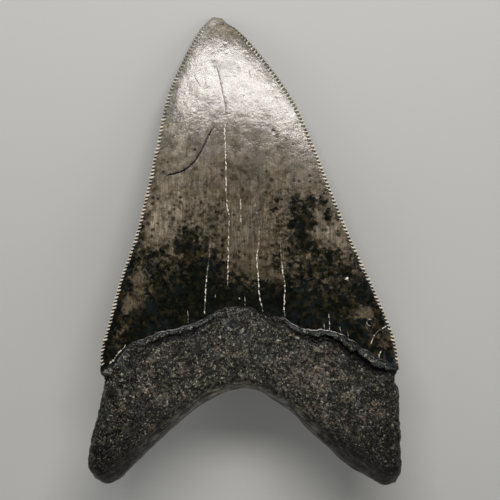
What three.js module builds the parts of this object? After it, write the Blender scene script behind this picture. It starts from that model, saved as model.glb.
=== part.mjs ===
// Fossil tooth of a giant shark: one solid with a serrated blade (the crown), a thick forked root and a low
// ledge where the crown's enamel ends. It lies on its tongue side with the flat lip side up.
//
// Millimetres. +X runs across the tooth, +Y from the root to the tip, +Z up. The origin is under the middle of
// the tooth's box, on the surface that the tooth lies on.
//
// The surface is worked out in the tooth's own frame first: x across, y from the lowest root lobe (0) to the
// tip, z out of the flat lip face (0), so the tongue side has negative z. It is then leaned back onto the bulge
// of the root and the tip, which is how such a tooth comes to rest.
//
// Two parameters cover each face. "across" runs from -1 at the left edge to 1 at the right edge. "rise" runs
// from 0 at the root's underside through 1 at the enamel line to 2 at the tip.

import * as THREE from 'three';

// ---- Outline, as [x, y] ----

// Cutting edges of the crown, from the crown's lower corner to the tip.
const LEFT_CUTTING_EDGE = [
  [-33.3, 27.2], [-33.1, 32.3], [-31.7, 37], [-28.9, 47.3], [-25.3, 57.6], [-22.6, 68],
  [-20.2, 79], [-17.9, 89.8], [-14.2, 98.8], [-10.4, 105.9], [-8.3, 108.2], [-6.1, 109.1],
];
const RIGHT_CUTTING_EDGE = [
  [35.9, 27.6], [35.4, 32.3], [34, 37], [29.6, 47.3], [24.8, 57.6], [20.5, 68],
  [16.2, 79], [11.3, 89.8], [4.9, 99], [-1.1, 105.9], [-4.8, 108.2], [-6.1, 109.1],
];

// Outer sides of the root, from the end of each lobe up to the crown's corner.
const LEFT_ROOT_SIDE = [
  [-35, 1.6], [-36.8, 4.6], [-35.8, 10.2], [-34.5, 15.5], [-33.5, 20.6], [-32.4, 24.8], [-33.3, 27.2],
];
const RIGHT_ROOT_SIDE = [
  [35.6, 0.6], [36.9, 3.5], [36.8, 9.5], [36.5, 16], [36.4, 21.6], [35.2, 25.2], [35.9, 27.6],
];

// Underside of the root between the lobe ends, and the line where the enamel ends, as heights y over x.
const ROOT_ARCH = [
  [-35, 1.6], [-31.5, 0.4], [-27.1, 3.5], [-19.6, 10.7], [-11, 18.1], [-5.5, 21.3], [0.8, 22.6],
  [6.2, 20.6], [10.4, 17.9], [15.6, 12.5], [20.6, 7.9], [25.5, 4], [30, 1.4], [32.8, 0], [35.6, 0.6],
];
const ENAMEL_LINE = [
  [-33.3, 27.2], [-30.6, 28.8], [-26.2, 33.4], [-20, 35.9], [-12, 37.8], [-5.6, 41.4], [0, 42],
  [5, 40], [9.6, 39.2], [13.5, 36.9], [20, 36.4], [27.5, 32.4], [31.6, 30], [35.9, 27.6],
];

// ---- Depths, each as [rise, z] or [rise, size] ----

// Lip face on the middle line: flat, and bent back over the last third of the blade.
const FACE_HEIGHT = [
  [0, -0.4], [0.4, 0.3], [0.9, 0.1], [1.05, 0.1], [1.25, 0.8], [1.5, 1.5], [1.6, 1.38], [1.65, 1.14],
  [1.7, 0.76], [1.8, -0.12], [1.85, -0.62], [1.9, -1.28], [1.93, -1.78], [1.96, -2.3], [2, -2.8],
];
// Tongue face on the middle line: deepest on the root's bulge.
const BACK_DEPTH = [
  [0, -17], [0.2, -20], [0.45, -22.5], [0.62, -22.6], [0.8, -20.9], [1, -17.9], [1.2, -14.2],
  [1.4, -11], [1.6, -8.2], [1.8, -5.6], [1.92, -4.1], [2, -3],
];
// Tongue face on the root's lobes, where it is shallower.
const LOBE_DEPTH = [[0, -12.6], [0.5, -15.6], [0.85, -14.8], [1, -13.6], [1.25, -13.2], [1.4, -11], [2, -3]];
// Outer edge: halfway down the thick root, close to the lip face on the blade.
const EDGE_DEPTH = [
  [0, -7], [0.6, -7], [0.85, -5], [1, -2.4], [1.12, -1.4], [1.3, -0.8], [1.5, 0], [1.65, 0], [1.8, -1],
  [1.9, -1.75], [2, -2.9],
];
// How full the section is beside its edge: the power and the root taken of (1 - |across| ** power).
const FACE_POWER = [[0, 5], [0.8, 5], [1.1, 3], [2, 2.4]];
const FACE_ROOTING = [[0, 0.5], [0.8, 0.55], [1.1, 1], [2, 1]];
const BACK_POWER = [[0, 4], [0.75, 4], [1.1, 2.1], [2, 1.8]];
const BACK_ROOTING = [[0, 0.5], [0.8, 0.6], [1.1, 0.9], [2, 0.95]];

// The lobes start and end at these distances from the middle line, as |across|.
const LOBE_START = 0.2;
const LOBE_END = 0.85;
// The underside is rounded over this much rise, on the lip side and on the tongue side.
const FACE_ROUNDING = 0.2;
const BACK_ROUNDING = 0.42;

// Ledge at the enamel line, as [rise, height]: a raised lip of enamel over a groove in the root.
const LEDGE = [[0.86, 0], [0.925, -0.35], [0.965, -0.75], [0.985, 0.05], [1.0, 0.35], [1.02, 0.25], [1.05, 0]];

// ---- How it lies ----

// Lean that brings the root's bulge and the tip down to one level.
const REST_LEAN = THREE.MathUtils.degToRad(14.5);
// Depth worn off the lowest spots, which leaves flats to rest on.
const WORN_FLAT = 0.45;

// ---- Mesh fineness ----

const COLUMNS = 34;
const ROOT_RISES = [
  0, 0.015, 0.05, 0.1, 0.17, 0.25, 0.33, 0.4, 0.45, 0.5, 0.55, 0.6, 0.66, 0.73, 0.8, 0.86, 0.925, 0.965, 0.985,
];
const LEDGE_RISES = [1, 1.02, 1.05];
const CROWN_ROWS = 27;
const LAST_RISE = 1.985;
// How strongly columns crowd towards the edges, as [rise, share]: the round root needs it and the blade doesn't.
const CROWDING = [[0, 0.85], [0.8, 0.8], [1.1, 0.15], [2, 0.05]];

/** Smooth curve through [key, value] pairs: cubic pieces whose slope at a pair is that of its neighbours' chord. */
function smoothCurve(pairs) {
  const slopes = pairs.map((pair, i) => {
    const before = pairs[Math.max(i - 1, 0)];
    const after = pairs[Math.min(i + 1, pairs.length - 1)];
    return (after[1] - before[1]) / (after[0] - before[0]);
  });
  return (key) => {
    let i = 0;
    while (i < pairs.length - 2 && key > pairs[i + 1][0]) i += 1;
    const [startKey, startValue] = pairs[i];
    const [endKey, endValue] = pairs[i + 1];
    const span = endKey - startKey;
    const t = THREE.MathUtils.clamp((key - startKey) / span, 0, 1);
    const ease = t * t * (3 - 2 * t);
    const leave = t * (1 - t) * (1 - t) * span * slopes[i];
    const arrive = t * t * (t - 1) * span * slopes[i + 1];
    return startValue + (endValue - startValue) * ease + leave + arrive;
  };
}

/** Plane curve through [x, y] points, run by the share of its length from 0 to 1. */
function edgeCurve(points) {
  const lengths = [0];
  for (let i = 1; i < points.length; i += 1) {
    const step = Math.hypot(points[i][0] - points[i - 1][0], points[i][1] - points[i - 1][1]);
    lengths.push(lengths[i - 1] + step);
  }
  const total = lengths[lengths.length - 1];
  const x = smoothCurve(points.map((point, i) => [lengths[i] / total, point[0]]));
  const y = smoothCurve(points.map((point, i) => [lengths[i] / total, point[1]]));
  return (share) => new THREE.Vector2(x(share), y(share));
}

/** Straight-line reading of [key, value] pairs, for profiles with corners. */
function corneredCurve(pairs) {
  return (key) => {
    let i = 0;
    while (i < pairs.length - 2 && key > pairs[i + 1][0]) i += 1;
    const t = THREE.MathUtils.clamp((key - pairs[i][0]) / (pairs[i + 1][0] - pairs[i][0]), 0, 1);
    return THREE.MathUtils.lerp(pairs[i][1], pairs[i + 1][1], t);
  };
}

const leftCuttingEdge = edgeCurve(LEFT_CUTTING_EDGE);
const rightCuttingEdge = edgeCurve(RIGHT_CUTTING_EDGE);
const leftRootSide = edgeCurve(LEFT_ROOT_SIDE);
const rightRootSide = edgeCurve(RIGHT_ROOT_SIDE);
const rootArch = smoothCurve(ROOT_ARCH);
const enamelLine = smoothCurve(ENAMEL_LINE);
const faceHeight = smoothCurve(FACE_HEIGHT);
const backDepth = smoothCurve(BACK_DEPTH);
const lobeDepth = smoothCurve(LOBE_DEPTH);
const edgeDepth = smoothCurve(EDGE_DEPTH);
const facePower = corneredCurve(FACE_POWER);
const faceRooting = corneredCurve(FACE_ROOTING);
const backPower = corneredCurve(BACK_POWER);
const backRooting = corneredCurve(BACK_ROOTING);
const ledge = corneredCurve(LEDGE);
const crowding = corneredCurve(CROWDING);

/** How far a height curve stands above the straight line between its two ends, at a share of the way across. */
function bow(heightCurve, points, share) {
  const [startX, startY] = points[0];
  const [endX, endY] = points[points.length - 1];
  const x = THREE.MathUtils.lerp(startX, endX, share);
  return heightCurve(x) - THREE.MathUtils.lerp(startY, endY, share);
}

/** Place on the outline plane for a rise and a share of the way across. */
function planePoint(rise, share) {
  const inRoot = rise <= 1;
  const left = inRoot ? leftRootSide(rise) : leftCuttingEdge(rise - 1);
  const right = inRoot ? rightRootSide(rise) : rightCuttingEdge(rise - 1);
  const point = left.lerp(right, share);
  const enamelBow = bow(enamelLine, ENAMEL_LINE, share);
  if (inRoot) {
    point.y += (1 - rise) * bow(rootArch, ROOT_ARCH, share) + rise * enamelBow;
  } else {
    point.y += enamelBow * (2 - rise) ** 1.5;
  }
  return point;
}

/** Quarter-round rise from 0 to 1 over the first part of the root. */
function rounding(rise, over) {
  const left = 1 - Math.min(rise / over, 1);
  return Math.sqrt(1 - left * left);
}

/** Height of the lip face above the edge plane. */
function faceOffset(rise, across) {
  const fullness = (1 - Math.abs(across) ** facePower(rise)) ** faceRooting(rise);
  const flat = faceHeight(rise) - edgeDepth(rise);
  return (flat * fullness + ledge(rise) * fullness) * rounding(rise, FACE_ROUNDING);
}

/** Depth of the tongue face below the edge plane. */
function backOffset(rise, across) {
  const fullness = (1 - Math.abs(across) ** backPower(rise)) ** backRooting(rise);
  const lobe = THREE.MathUtils.smoothstep(Math.abs(across), LOBE_START, LOBE_END);
  const depth = THREE.MathUtils.lerp(backDepth(rise), lobeDepth(rise), lobe);
  return (edgeDepth(rise) - depth) * fullness * rounding(rise, BACK_ROUNDING);
}

/** Point of the surface in the tooth's own frame; side is 1 on the lip face, -1 on the tongue face, 0 on the edge. */
function surfacePoint(rise, column, side) {
  const even = 2 * column / COLUMNS - 1;
  const crowd = crowding(rise);
  const across = THREE.MathUtils.clamp(THREE.MathUtils.lerp(even, Math.sin(even * Math.PI / 2), crowd), -1, 1);
  const place = planePoint(rise, (1 + across) / 2);
  let z = edgeDepth(rise);
  if (side > 0) z += faceOffset(rise, across);
  if (side < 0) z -= backOffset(rise, across);
  return new THREE.Vector3(place.x, place.y, z);
}

/** Closed mesh: one ring of points per rise, zipped along the root's underside and drawn to a point at the tip. */
function toothGeometry() {
  const crownRises = Array.from({ length: CROWN_ROWS }, (_, i) => (
    THREE.MathUtils.lerp(LEDGE_RISES.at(-1), LAST_RISE, (i + 1) / CROWN_ROWS)
  ));
  const rises = [...ROOT_RISES, ...LEDGE_RISES, ...crownRises];
  const points = [];
  const rows = rises.map((rise, row) => {
    const face = [];
    const back = [];
    for (let column = 0; column <= COLUMNS; column += 1) {
      const onEdge = column === 0 || column === COLUMNS || row === 0;
      face.push(points.push(surfacePoint(rise, column, onEdge ? 0 : 1)) - 1);
      back.push(onEdge ? face[column] : points.push(surfacePoint(rise, column, -1)) - 1);
    }
    return { face, back };
  });
  const tip = points.push(surfacePoint(2, COLUMNS / 2, 0)) - 1;

  const triangles = [];
  const addTriangle = (a, b, c) => {
    if (a !== b && b !== c && c !== a) triangles.push(a, b, c);
  };
  for (let row = 0; row < rows.length; row += 1) {
    const lower = rows[row];
    const upper = rows[row + 1];
    for (let column = 0; column < COLUMNS; column += 1) {
      const next = column + 1;
      const faceAbove = upper ? upper.face[column] : tip;
      const faceAboveNext = upper ? upper.face[next] : tip;
      addTriangle(lower.face[column], lower.face[next], faceAboveNext);
      addTriangle(lower.face[column], faceAboveNext, faceAbove);
      const backAbove = upper ? upper.back[column] : tip;
      const backAboveNext = upper ? upper.back[next] : tip;
      addTriangle(lower.back[next], lower.back[column], backAbove);
      addTriangle(lower.back[next], backAbove, backAboveNext);
    }
  }
  return { points, triangles };
}

/** Leans the points onto the bulge and the tip, wears the lowest spots flat and centres the box over the origin. */
function layDown(points) {
  const leanAxis = new THREE.Vector3(1, 0, 0);
  points.forEach((point) => point.applyAxisAngle(leanAxis, -REST_LEAN));
  const box = new THREE.Box3().setFromPoints(points);
  const middle = box.getCenter(new THREE.Vector3());
  const floor = box.min.z + WORN_FLAT;
  points.forEach((point) => {
    point.x -= middle.x;
    point.y -= middle.y;
    point.z = Math.max(point.z - floor, 0);
  });
}

const { points, triangles } = toothGeometry();
layDown(points);

const geometry = new THREE.BufferGeometry().setFromPoints(points);
geometry.setIndex(triangles);
geometry.computeVertexNormals();

const material = new THREE.MeshStandardMaterial({ color: 0x3b382f, roughness: 0.4, metalness: 0 });

const tooth = new THREE.Mesh(geometry, material);
tooth.name = 'tooth';

const object = new THREE.Group();
object.add(tooth);

export default object;
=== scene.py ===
"""Fine surface, finishes and studio for a fossil megalodon tooth that lies with its lip side up.

The tooth is one closed mesh. It is worked out in millimetres in the tooth's own frame: x across, y from the
lowest root lobe to the tip, z out of the flat lip face. It is then leaned onto the bulge of its root and its
tip, which is how such a tooth rests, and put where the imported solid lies.

Two parameters cover each face. "across" runs from -1 at the left edge to 1 at the right edge. "rise" runs
from 0 at the root's underside through 1 at the enamel line to 2 at the tip.
"""

import logging
import math
from collections.abc import Callable, Sequence
from dataclasses import dataclass, field
from enum import Enum
from typing import Any

import bpy
import numpy as np
from mathutils import Matrix, Vector


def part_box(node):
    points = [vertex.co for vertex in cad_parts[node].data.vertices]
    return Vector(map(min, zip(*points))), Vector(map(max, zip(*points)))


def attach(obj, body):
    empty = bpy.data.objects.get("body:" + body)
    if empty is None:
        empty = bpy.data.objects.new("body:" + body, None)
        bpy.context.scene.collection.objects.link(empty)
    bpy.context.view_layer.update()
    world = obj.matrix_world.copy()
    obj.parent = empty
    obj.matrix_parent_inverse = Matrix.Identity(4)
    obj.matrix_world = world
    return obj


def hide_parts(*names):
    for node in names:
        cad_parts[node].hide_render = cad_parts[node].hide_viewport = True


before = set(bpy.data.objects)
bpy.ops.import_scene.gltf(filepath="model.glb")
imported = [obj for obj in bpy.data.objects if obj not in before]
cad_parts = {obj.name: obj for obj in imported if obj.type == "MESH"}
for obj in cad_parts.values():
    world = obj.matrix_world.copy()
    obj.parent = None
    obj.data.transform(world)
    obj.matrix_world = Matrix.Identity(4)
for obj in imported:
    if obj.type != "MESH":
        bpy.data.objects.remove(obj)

LOG = logging.getLogger("tooth")

MM = 0.001

Pairs = Sequence[tuple[float, float]]
Curve = Callable[[np.ndarray], np.ndarray]
Triple = tuple[float, float, float]
Colour = tuple[float, float, float, float]
Socket = bpy.types.NodeSocket
Value = Socket | float | Sequence[float]


# ---------------------------------------------------------------------------------------------------------
# Curves and random fields
# ---------------------------------------------------------------------------------------------------------


def smooth_curve(pairs: Pairs) -> Curve:
    """Smooth curve through (key, value) pairs.

    Cubic Hermite pieces, whose slope at a pair is that of the chord between its two neighbours.

    Args:
        pairs: the pairs, with rising keys.

    Returns:
        A function from an array of keys to an array of values, flat beyond the ends.
    """
    keys, values = (np.array(column, dtype=float) for column in zip(*pairs))
    before = np.maximum(np.arange(len(keys)) - 1, 0)
    after = np.minimum(np.arange(len(keys)) + 1, len(keys) - 1)
    slopes = (values[after] - values[before]) / (keys[after] - keys[before])

    def read(key: np.ndarray) -> np.ndarray:
        """Value of the curve at each key.

        Args:
            key: array of keys.

        Returns:
            Array of values.
        """
        key = np.asarray(key, dtype=float)
        start = np.clip(np.searchsorted(keys, key, side="left") - 1, 0, len(keys) - 2)
        span = keys[start + 1] - keys[start]
        t = np.clip((key - keys[start]) / span, 0, 1)
        ease = t * t * (3 - 2 * t)
        leave = t * (1 - t) ** 2 * span * slopes[start]
        arrive = t * t * (t - 1) * span * slopes[start + 1]
        return values[start] + (values[start + 1] - values[start]) * ease + leave + arrive

    return read


def cornered_curve(pairs: Pairs) -> Curve:
    """Straight-line reading of (key, value) pairs, flat beyond the ends.

    Args:
        pairs: the pairs, with rising keys.

    Returns:
        A function from an array of keys to an array of values.
    """
    keys, values = zip(*pairs)
    return lambda key: np.interp(key, keys, values)


def edge_curve(points: Pairs) -> Callable[[np.ndarray], tuple[np.ndarray, np.ndarray]]:
    """Plane curve through (x, y) points, run by the share of its length.

    Args:
        points: the points in order.

    Returns:
        A function from an array of shares, 0 to 1, to the arrays x and y.
    """
    steps = np.hypot(*np.diff(np.array(points, dtype=float), axis=0).T)
    shares = np.concatenate([[0.0], np.cumsum(steps)]) / steps.sum()
    x = smooth_curve([(share, point[0]) for share, point in zip(shares, points)])
    y = smooth_curve([(share, point[1]) for share, point in zip(shares, points)])
    return lambda share: (x(share), y(share))


def smooth_step(value: np.ndarray, low: float | np.ndarray, high: float | np.ndarray) -> np.ndarray:
    """0 at low, 1 at high, with an S-shaped cubic between; low may be above high, which turns it round."""
    t = np.clip((value - low) / (high - low), 0, 1)
    return t * t * (3 - 2 * t)


def mixed(first: Any, second: Any, share: np.ndarray) -> np.ndarray:
    """First where share is 0, second where it is 1, and a straight blend between."""
    return first + (second - first) * share


@dataclass(frozen=True)
class RandomField:
    """Smooth random field over space, from -1 to 1.

    Gradient noise: every corner of a unit lattice has a random direction, and a place reads the eight corners
    of its cell, each as the direction times the way to the place, blended by a fifth-power ease.
    """

    seed: int

    def read(self, places: np.ndarray, size: float | Sequence[float]) -> np.ndarray:
        """Field at each place.

        Args:
            places: array of shape (n, 3), in millimetres.
            size: the lattice's spacing, one number or one for each axis.

        Returns:
            Array of n values.
        """
        draw = np.random.default_rng(self.seed)
        order = draw.permutation(256)
        directions = draw.normal(size=(256, 3))
        directions /= np.linalg.norm(directions, axis=1, keepdims=True)
        scaled = places / np.asarray(size, dtype=float) + draw.uniform(0, 97, 3)
        cell = np.floor(scaled).astype(int)
        inside = scaled - cell
        ease = inside**3 * (inside * (inside * 6 - 15) + 10)
        total = np.zeros(len(places))
        for corner in np.ndindex(2, 2, 2):
            at = cell + corner
            pick = order[(order[(order[at[:, 0] & 255] + at[:, 1]) & 255] + at[:, 2]) & 255]
            pull = ((inside - corner) * directions[pick]).sum(axis=1)
            weight = np.where(corner, ease, 1 - ease).prod(axis=1)
            total += pull * weight
        return np.clip(total * 1.7, -1, 1)

    def layered(self, places: np.ndarray, size: float | Sequence[float], layers: int) -> np.ndarray:
        """Sum of layers of the field, each half as large and at 0.55 of the strength of the one before.

        Args:
            places: array of shape (n, 3), in millimetres.
            size: spacing of the first layer, one number or one for each axis.
            layers: how many layers there are.

        Returns:
            Array of n values.
        """
        size = np.asarray(size, dtype=float)
        total = np.zeros(len(places))
        strength = 1.0
        for layer in range(layers):
            total += strength * RandomField(self.seed + layer).read(places, size)
            size, strength = size / 2, strength * 0.55
        return total


# ---------------------------------------------------------------------------------------------------------
# Form of the tooth
# ---------------------------------------------------------------------------------------------------------


class Side(Enum):
    """The two faces of the tooth, valued by the way their surface looks along z."""

    LIP = 1
    TONGUE = -1


@dataclass(frozen=True)
class ToothForm:
    """Smooth form of the tooth, in millimetres in its own frame.

    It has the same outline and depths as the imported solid. The outlines are (x, y) points. The heights,
    depths, powers and rootings are (rise, value) pairs.
    """

    left_cutting_edge: Pairs = (
        (-33.3, 27.2), (-33.1, 32.3), (-31.7, 37), (-28.9, 47.3), (-25.3, 57.6), (-22.6, 68),
        (-20.2, 79), (-17.9, 89.8), (-14.2, 98.8), (-10.4, 105.9), (-8.3, 108.2), (-6.1, 109.1),
    )
    right_cutting_edge: Pairs = (
        (35.9, 27.6), (35.4, 32.3), (34, 37), (29.6, 47.3), (24.8, 57.6), (20.5, 68),
        (16.2, 79), (11.3, 89.8), (4.9, 99), (-1.1, 105.9), (-4.8, 108.2), (-6.1, 109.1),
    )
    left_root_side: Pairs = (
        (-35, 1.6), (-36.8, 4.6), (-35.8, 10.2), (-34.5, 15.5), (-33.5, 20.6), (-32.4, 24.8), (-33.3, 27.2),
    )
    right_root_side: Pairs = (
        (35.6, 0.6), (36.9, 3.5), (36.8, 9.5), (36.5, 16), (36.4, 21.6), (35.2, 25.2), (35.9, 27.6),
    )
    root_arch: Pairs = (
        (-35, 1.6), (-31.5, 0.4), (-27.1, 3.5), (-19.6, 10.7), (-11, 18.1), (-5.5, 21.3), (0.8, 22.6),
        (6.2, 20.6), (10.4, 17.9), (15.6, 12.5), (20.6, 7.9), (25.5, 4), (30, 1.4), (32.8, 0), (35.6, 0.6),
    )
    enamel_line: Pairs = (
        (-33.3, 27.2), (-30.6, 28.8), (-26.2, 33.4), (-20, 35.9), (-12, 37.8), (-5.6, 41.4), (0, 42),
        (5, 40), (9.6, 39.2), (13.5, 36.9), (20, 36.4), (27.5, 32.4), (31.6, 30), (35.9, 27.6),
    )
    face_height: Pairs = (
        (0, -0.4), (0.4, 0.3), (0.9, 0.1), (1.05, 0.1), (1.25, 0.8), (1.5, 1.5), (1.6, 1.38), (1.65, 1.14),
        (1.7, 0.76), (1.8, -0.12), (1.85, -0.62), (1.9, -1.28), (1.93, -1.78), (1.96, -2.3), (2, -2.8),
    )
    back_depth: Pairs = (
        (0, -17), (0.2, -20), (0.45, -22.5), (0.62, -22.6), (0.8, -20.9), (1, -17.9), (1.2, -14.2),
        (1.4, -11), (1.6, -8.2), (1.8, -5.6), (1.92, -4.1), (2, -3),
    )
    lobe_depth: Pairs = (
        (0, -12.6), (0.5, -15.6), (0.85, -14.8), (1, -13.6), (1.25, -13.2), (1.4, -11), (2, -3),
    )
    edge_depth: Pairs = (
        (0, -7), (0.6, -7), (0.85, -5), (1, -2.4), (1.12, -1.4), (1.3, -0.8), (1.5, 0), (1.65, 0), (1.8, -1),
        (1.9, -1.75), (2, -2.9),
    )
    face_power: Pairs = ((0, 5), (0.8, 5), (1.1, 3), (2, 2.4))
    face_rooting: Pairs = ((0, 0.5), (0.8, 0.55), (1.1, 1), (2, 1))
    back_power: Pairs = ((0, 4), (0.75, 4), (1.1, 2.1), (2, 1.8))
    back_rooting: Pairs = ((0, 0.5), (0.8, 0.6), (1.1, 0.9), (2, 0.95))
    lobe_start: float = 0.2
    lobe_end: float = 0.85
    face_rounding: float = 0.2
    back_rounding: float = 0.42
    rest_lean: float = math.radians(14.5)
    worn_flat: float = 0.45

    def edges(self, rise: np.ndarray) -> tuple[np.ndarray, np.ndarray, np.ndarray, np.ndarray]:
        """Left and right end of the row at each rise.

        Args:
            rise: array of rises.

        Returns:
            Arrays of the left x and y and the right x and y.
        """
        root = np.clip(rise, 0, 1)
        crown = np.clip(rise - 1, 0, 1)
        in_root = rise <= 1
        ends = []
        for side, cutting in (
            (self.left_root_side, self.left_cutting_edge),
            (self.right_root_side, self.right_cutting_edge),
        ):
            for low, high in zip(edge_curve(side)(root), edge_curve(cutting)(crown)):
                ends.append(np.where(in_root, low, high))
        return ends[0], ends[1], ends[2], ends[3]

    @staticmethod
    def bow(points: Pairs, share: np.ndarray) -> np.ndarray:
        """How far a height curve stands above the straight line between its ends, at each share across."""
        (start_x, start_y), (end_x, end_y) = points[0], points[-1]
        return smooth_curve(points)(mixed(start_x, end_x, share)) - mixed(start_y, end_y, share)

    def plane(self, rise: np.ndarray, across: np.ndarray) -> tuple[np.ndarray, np.ndarray]:
        """Place on the outline plane.

        The row's two ends are joined by a straight line, which is bowed like the root's arch at rise 0 and
        like the enamel line at rise 1, and less and less towards the tip.

        Args:
            rise: array of rises.
            across: array of the same shape.

        Returns:
            Arrays x and y.
        """
        share = (1 + across) / 2
        left_x, left_y, right_x, right_y = self.edges(rise)
        enamel_bow = self.bow(self.enamel_line, share)
        root_bow = mixed(self.bow(self.root_arch, share), enamel_bow, np.clip(rise, 0, 1))
        crown_bow = enamel_bow * np.clip(2 - rise, 0, 1) ** 1.5
        y = mixed(left_y, right_y, share) + np.where(rise <= 1, root_bow, crown_bow)
        return mixed(left_x, right_x, share), y

    def lip_offset(self, rise: np.ndarray, across: np.ndarray) -> np.ndarray:
        """Height of the lip face above the edge plane: full in the middle, falling to 0 at both edges.

        Args:
            rise: array of rises.
            across: array of the same shape.

        Returns:
            Array of heights.
        """
        power, rooting = cornered_curve(self.face_power)(rise), cornered_curve(self.face_rooting)(rise)
        fullness = np.clip(1 - np.abs(across) ** power, 0, 1) ** rooting
        flat = smooth_curve(self.face_height)(rise) - smooth_curve(self.edge_depth)(rise)
        return flat * fullness * self.rounding(rise, self.face_rounding)

    def tongue_offset(self, rise: np.ndarray, across: np.ndarray) -> np.ndarray:
        """Depth of the tongue face below the edge plane: the bulge in the middle, the lobes beside it.

        Args:
            rise: array of rises.
            across: array of the same shape.

        Returns:
            Array of depths.
        """
        power, rooting = cornered_curve(self.back_power)(rise), cornered_curve(self.back_rooting)(rise)
        fullness = np.clip(1 - np.abs(across) ** power, 0, 1) ** rooting
        lobe = smooth_step(np.abs(across), self.lobe_start, self.lobe_end)
        depth = mixed(smooth_curve(self.back_depth)(rise), smooth_curve(self.lobe_depth)(rise), lobe)
        full_depth = smooth_curve(self.edge_depth)(rise) - depth
        return full_depth * fullness * self.rounding(rise, self.back_rounding)

    @staticmethod
    def rounding(rise: np.ndarray, over: float) -> np.ndarray:
        """Quarter-round rise from 0 to 1 over the first part of the root."""
        return np.sqrt(1 - (1 - np.minimum(rise / over, 1)) ** 2)

    def surface(self, rise: np.ndarray, across: np.ndarray, side: np.ndarray) -> np.ndarray:
        """Point of the smooth surface.

        Args:
            rise: array of rises.
            across: array of the same shape.
            side: array of 1 on the lip face, -1 on the tongue face and 0 on the edge between them.

        Returns:
            Array with a last axis of x, y and z.
        """
        x, y = self.plane(rise, across)
        lift = np.where(side > 0, self.lip_offset(rise, across), 0)
        drop = np.where(side < 0, self.tongue_offset(rise, across), 0)
        return np.stack([x, y, smooth_curve(self.edge_depth)(rise) + lift - drop], axis=-1)


# ---------------------------------------------------------------------------------------------------------
# Cracks
# ---------------------------------------------------------------------------------------------------------


class CrackLayer(Enum):
    """Sets of cracks, each of which lies well clear of the others of its set."""

    PALE = "pale cracks"
    PALE_BETWEEN = "pale cracks between them"
    DARK = "dark cracks"


@dataclass(frozen=True)
class Crack:
    """Fine crack in the enamel of the lip face, along a smooth line of given points in millimetres.

    It is at a quarter of its strength over the faint share of its length. It is run as so many straight
    pieces, and its line is carried on past both ends by so many pieces more.
    """

    points: Pairs
    width: float
    layer: CrackLayer = CrackLayer.PALE
    strength: float = 1.0
    faint: float = 0.0
    pieces: int = 24
    carry: int = 40
    reach: float = 1.2

    def measure(self, places: np.ndarray) -> tuple[np.ndarray, np.ndarray, np.ndarray]:
        """Where each place lies beside the crack.

        The line is run as short straight pieces, and each place takes the signed distance to the nearest one
        and the share of the way along. The line is carried on straight past both ends.

        Args:
            places: array of shape (n, 3) in the tooth's frame.

        Returns:
            Arrays of the signed distance from the line, the share along it and the distance from the crack.
        """
        x, y = edge_curve(self.points)(np.linspace(0, 1, self.pieces + 1))
        line = np.stack([x, y], axis=1)
        ahead = line[-1] + (line[-1] - line[-2]) * self.carry
        behind = line[0] + (line[0] - line[1]) * self.carry
        line = np.concatenate([[behind], line, [ahead]])
        steps = np.diff(line, axis=0)
        lengths = np.hypot(*steps.T)
        run = np.concatenate([[0], np.cumsum(lengths)]) - lengths[0]
        length = run[-2]
        near = np.full(len(places), np.inf)
        signed = np.zeros(len(places))
        along = np.zeros(len(places))
        for start, step, size, begun in zip(line[:-1], steps, lengths, run[:-1]):
            way = places[:, :2] - start
            share = np.clip(way @ step / size**2, 0, 1)
            apart = way - share[:, None] * step
            distance = np.hypot(*apart.T)
            closer = distance < near
            near = np.where(closer, distance, near)
            turn = np.sign(step[0] * way[:, 1] - step[1] * way[:, 0])
            signed = np.where(closer, distance * turn, signed)
            along = np.where(closer, (begun + share * size) / length, along)
        beyond = np.maximum(np.maximum(-along, along - 1), 0) * length
        return signed, along, np.hypot(signed, beyond)

    def mark(self, places: np.ndarray) -> tuple[np.ndarray, np.ndarray]:
        """The crack's own numbers at each place.

        Args:
            places: array of shape (n, 3) in the tooth's frame.

        Returns:
            Array of shape (n, 3) of the signed distance, half the width there and the strength there, and
            array of the distance from the crack. The half width tapers at the ends and is 0 away from it.
        """
        signed, along, distance = self.measure(places)
        taper = smooth_step(along, 0, 0.12) * smooth_step(along, 1, 0.9)
        half = self.width / 2 * taper * smooth_step(distance, self.reach, self.reach / 2)
        strength = self.strength * (0.25 + 0.75 * smooth_step(along, self.faint - 0.05, self.faint + 0.03))
        return np.stack([signed, half, strength], axis=1), distance


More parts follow.
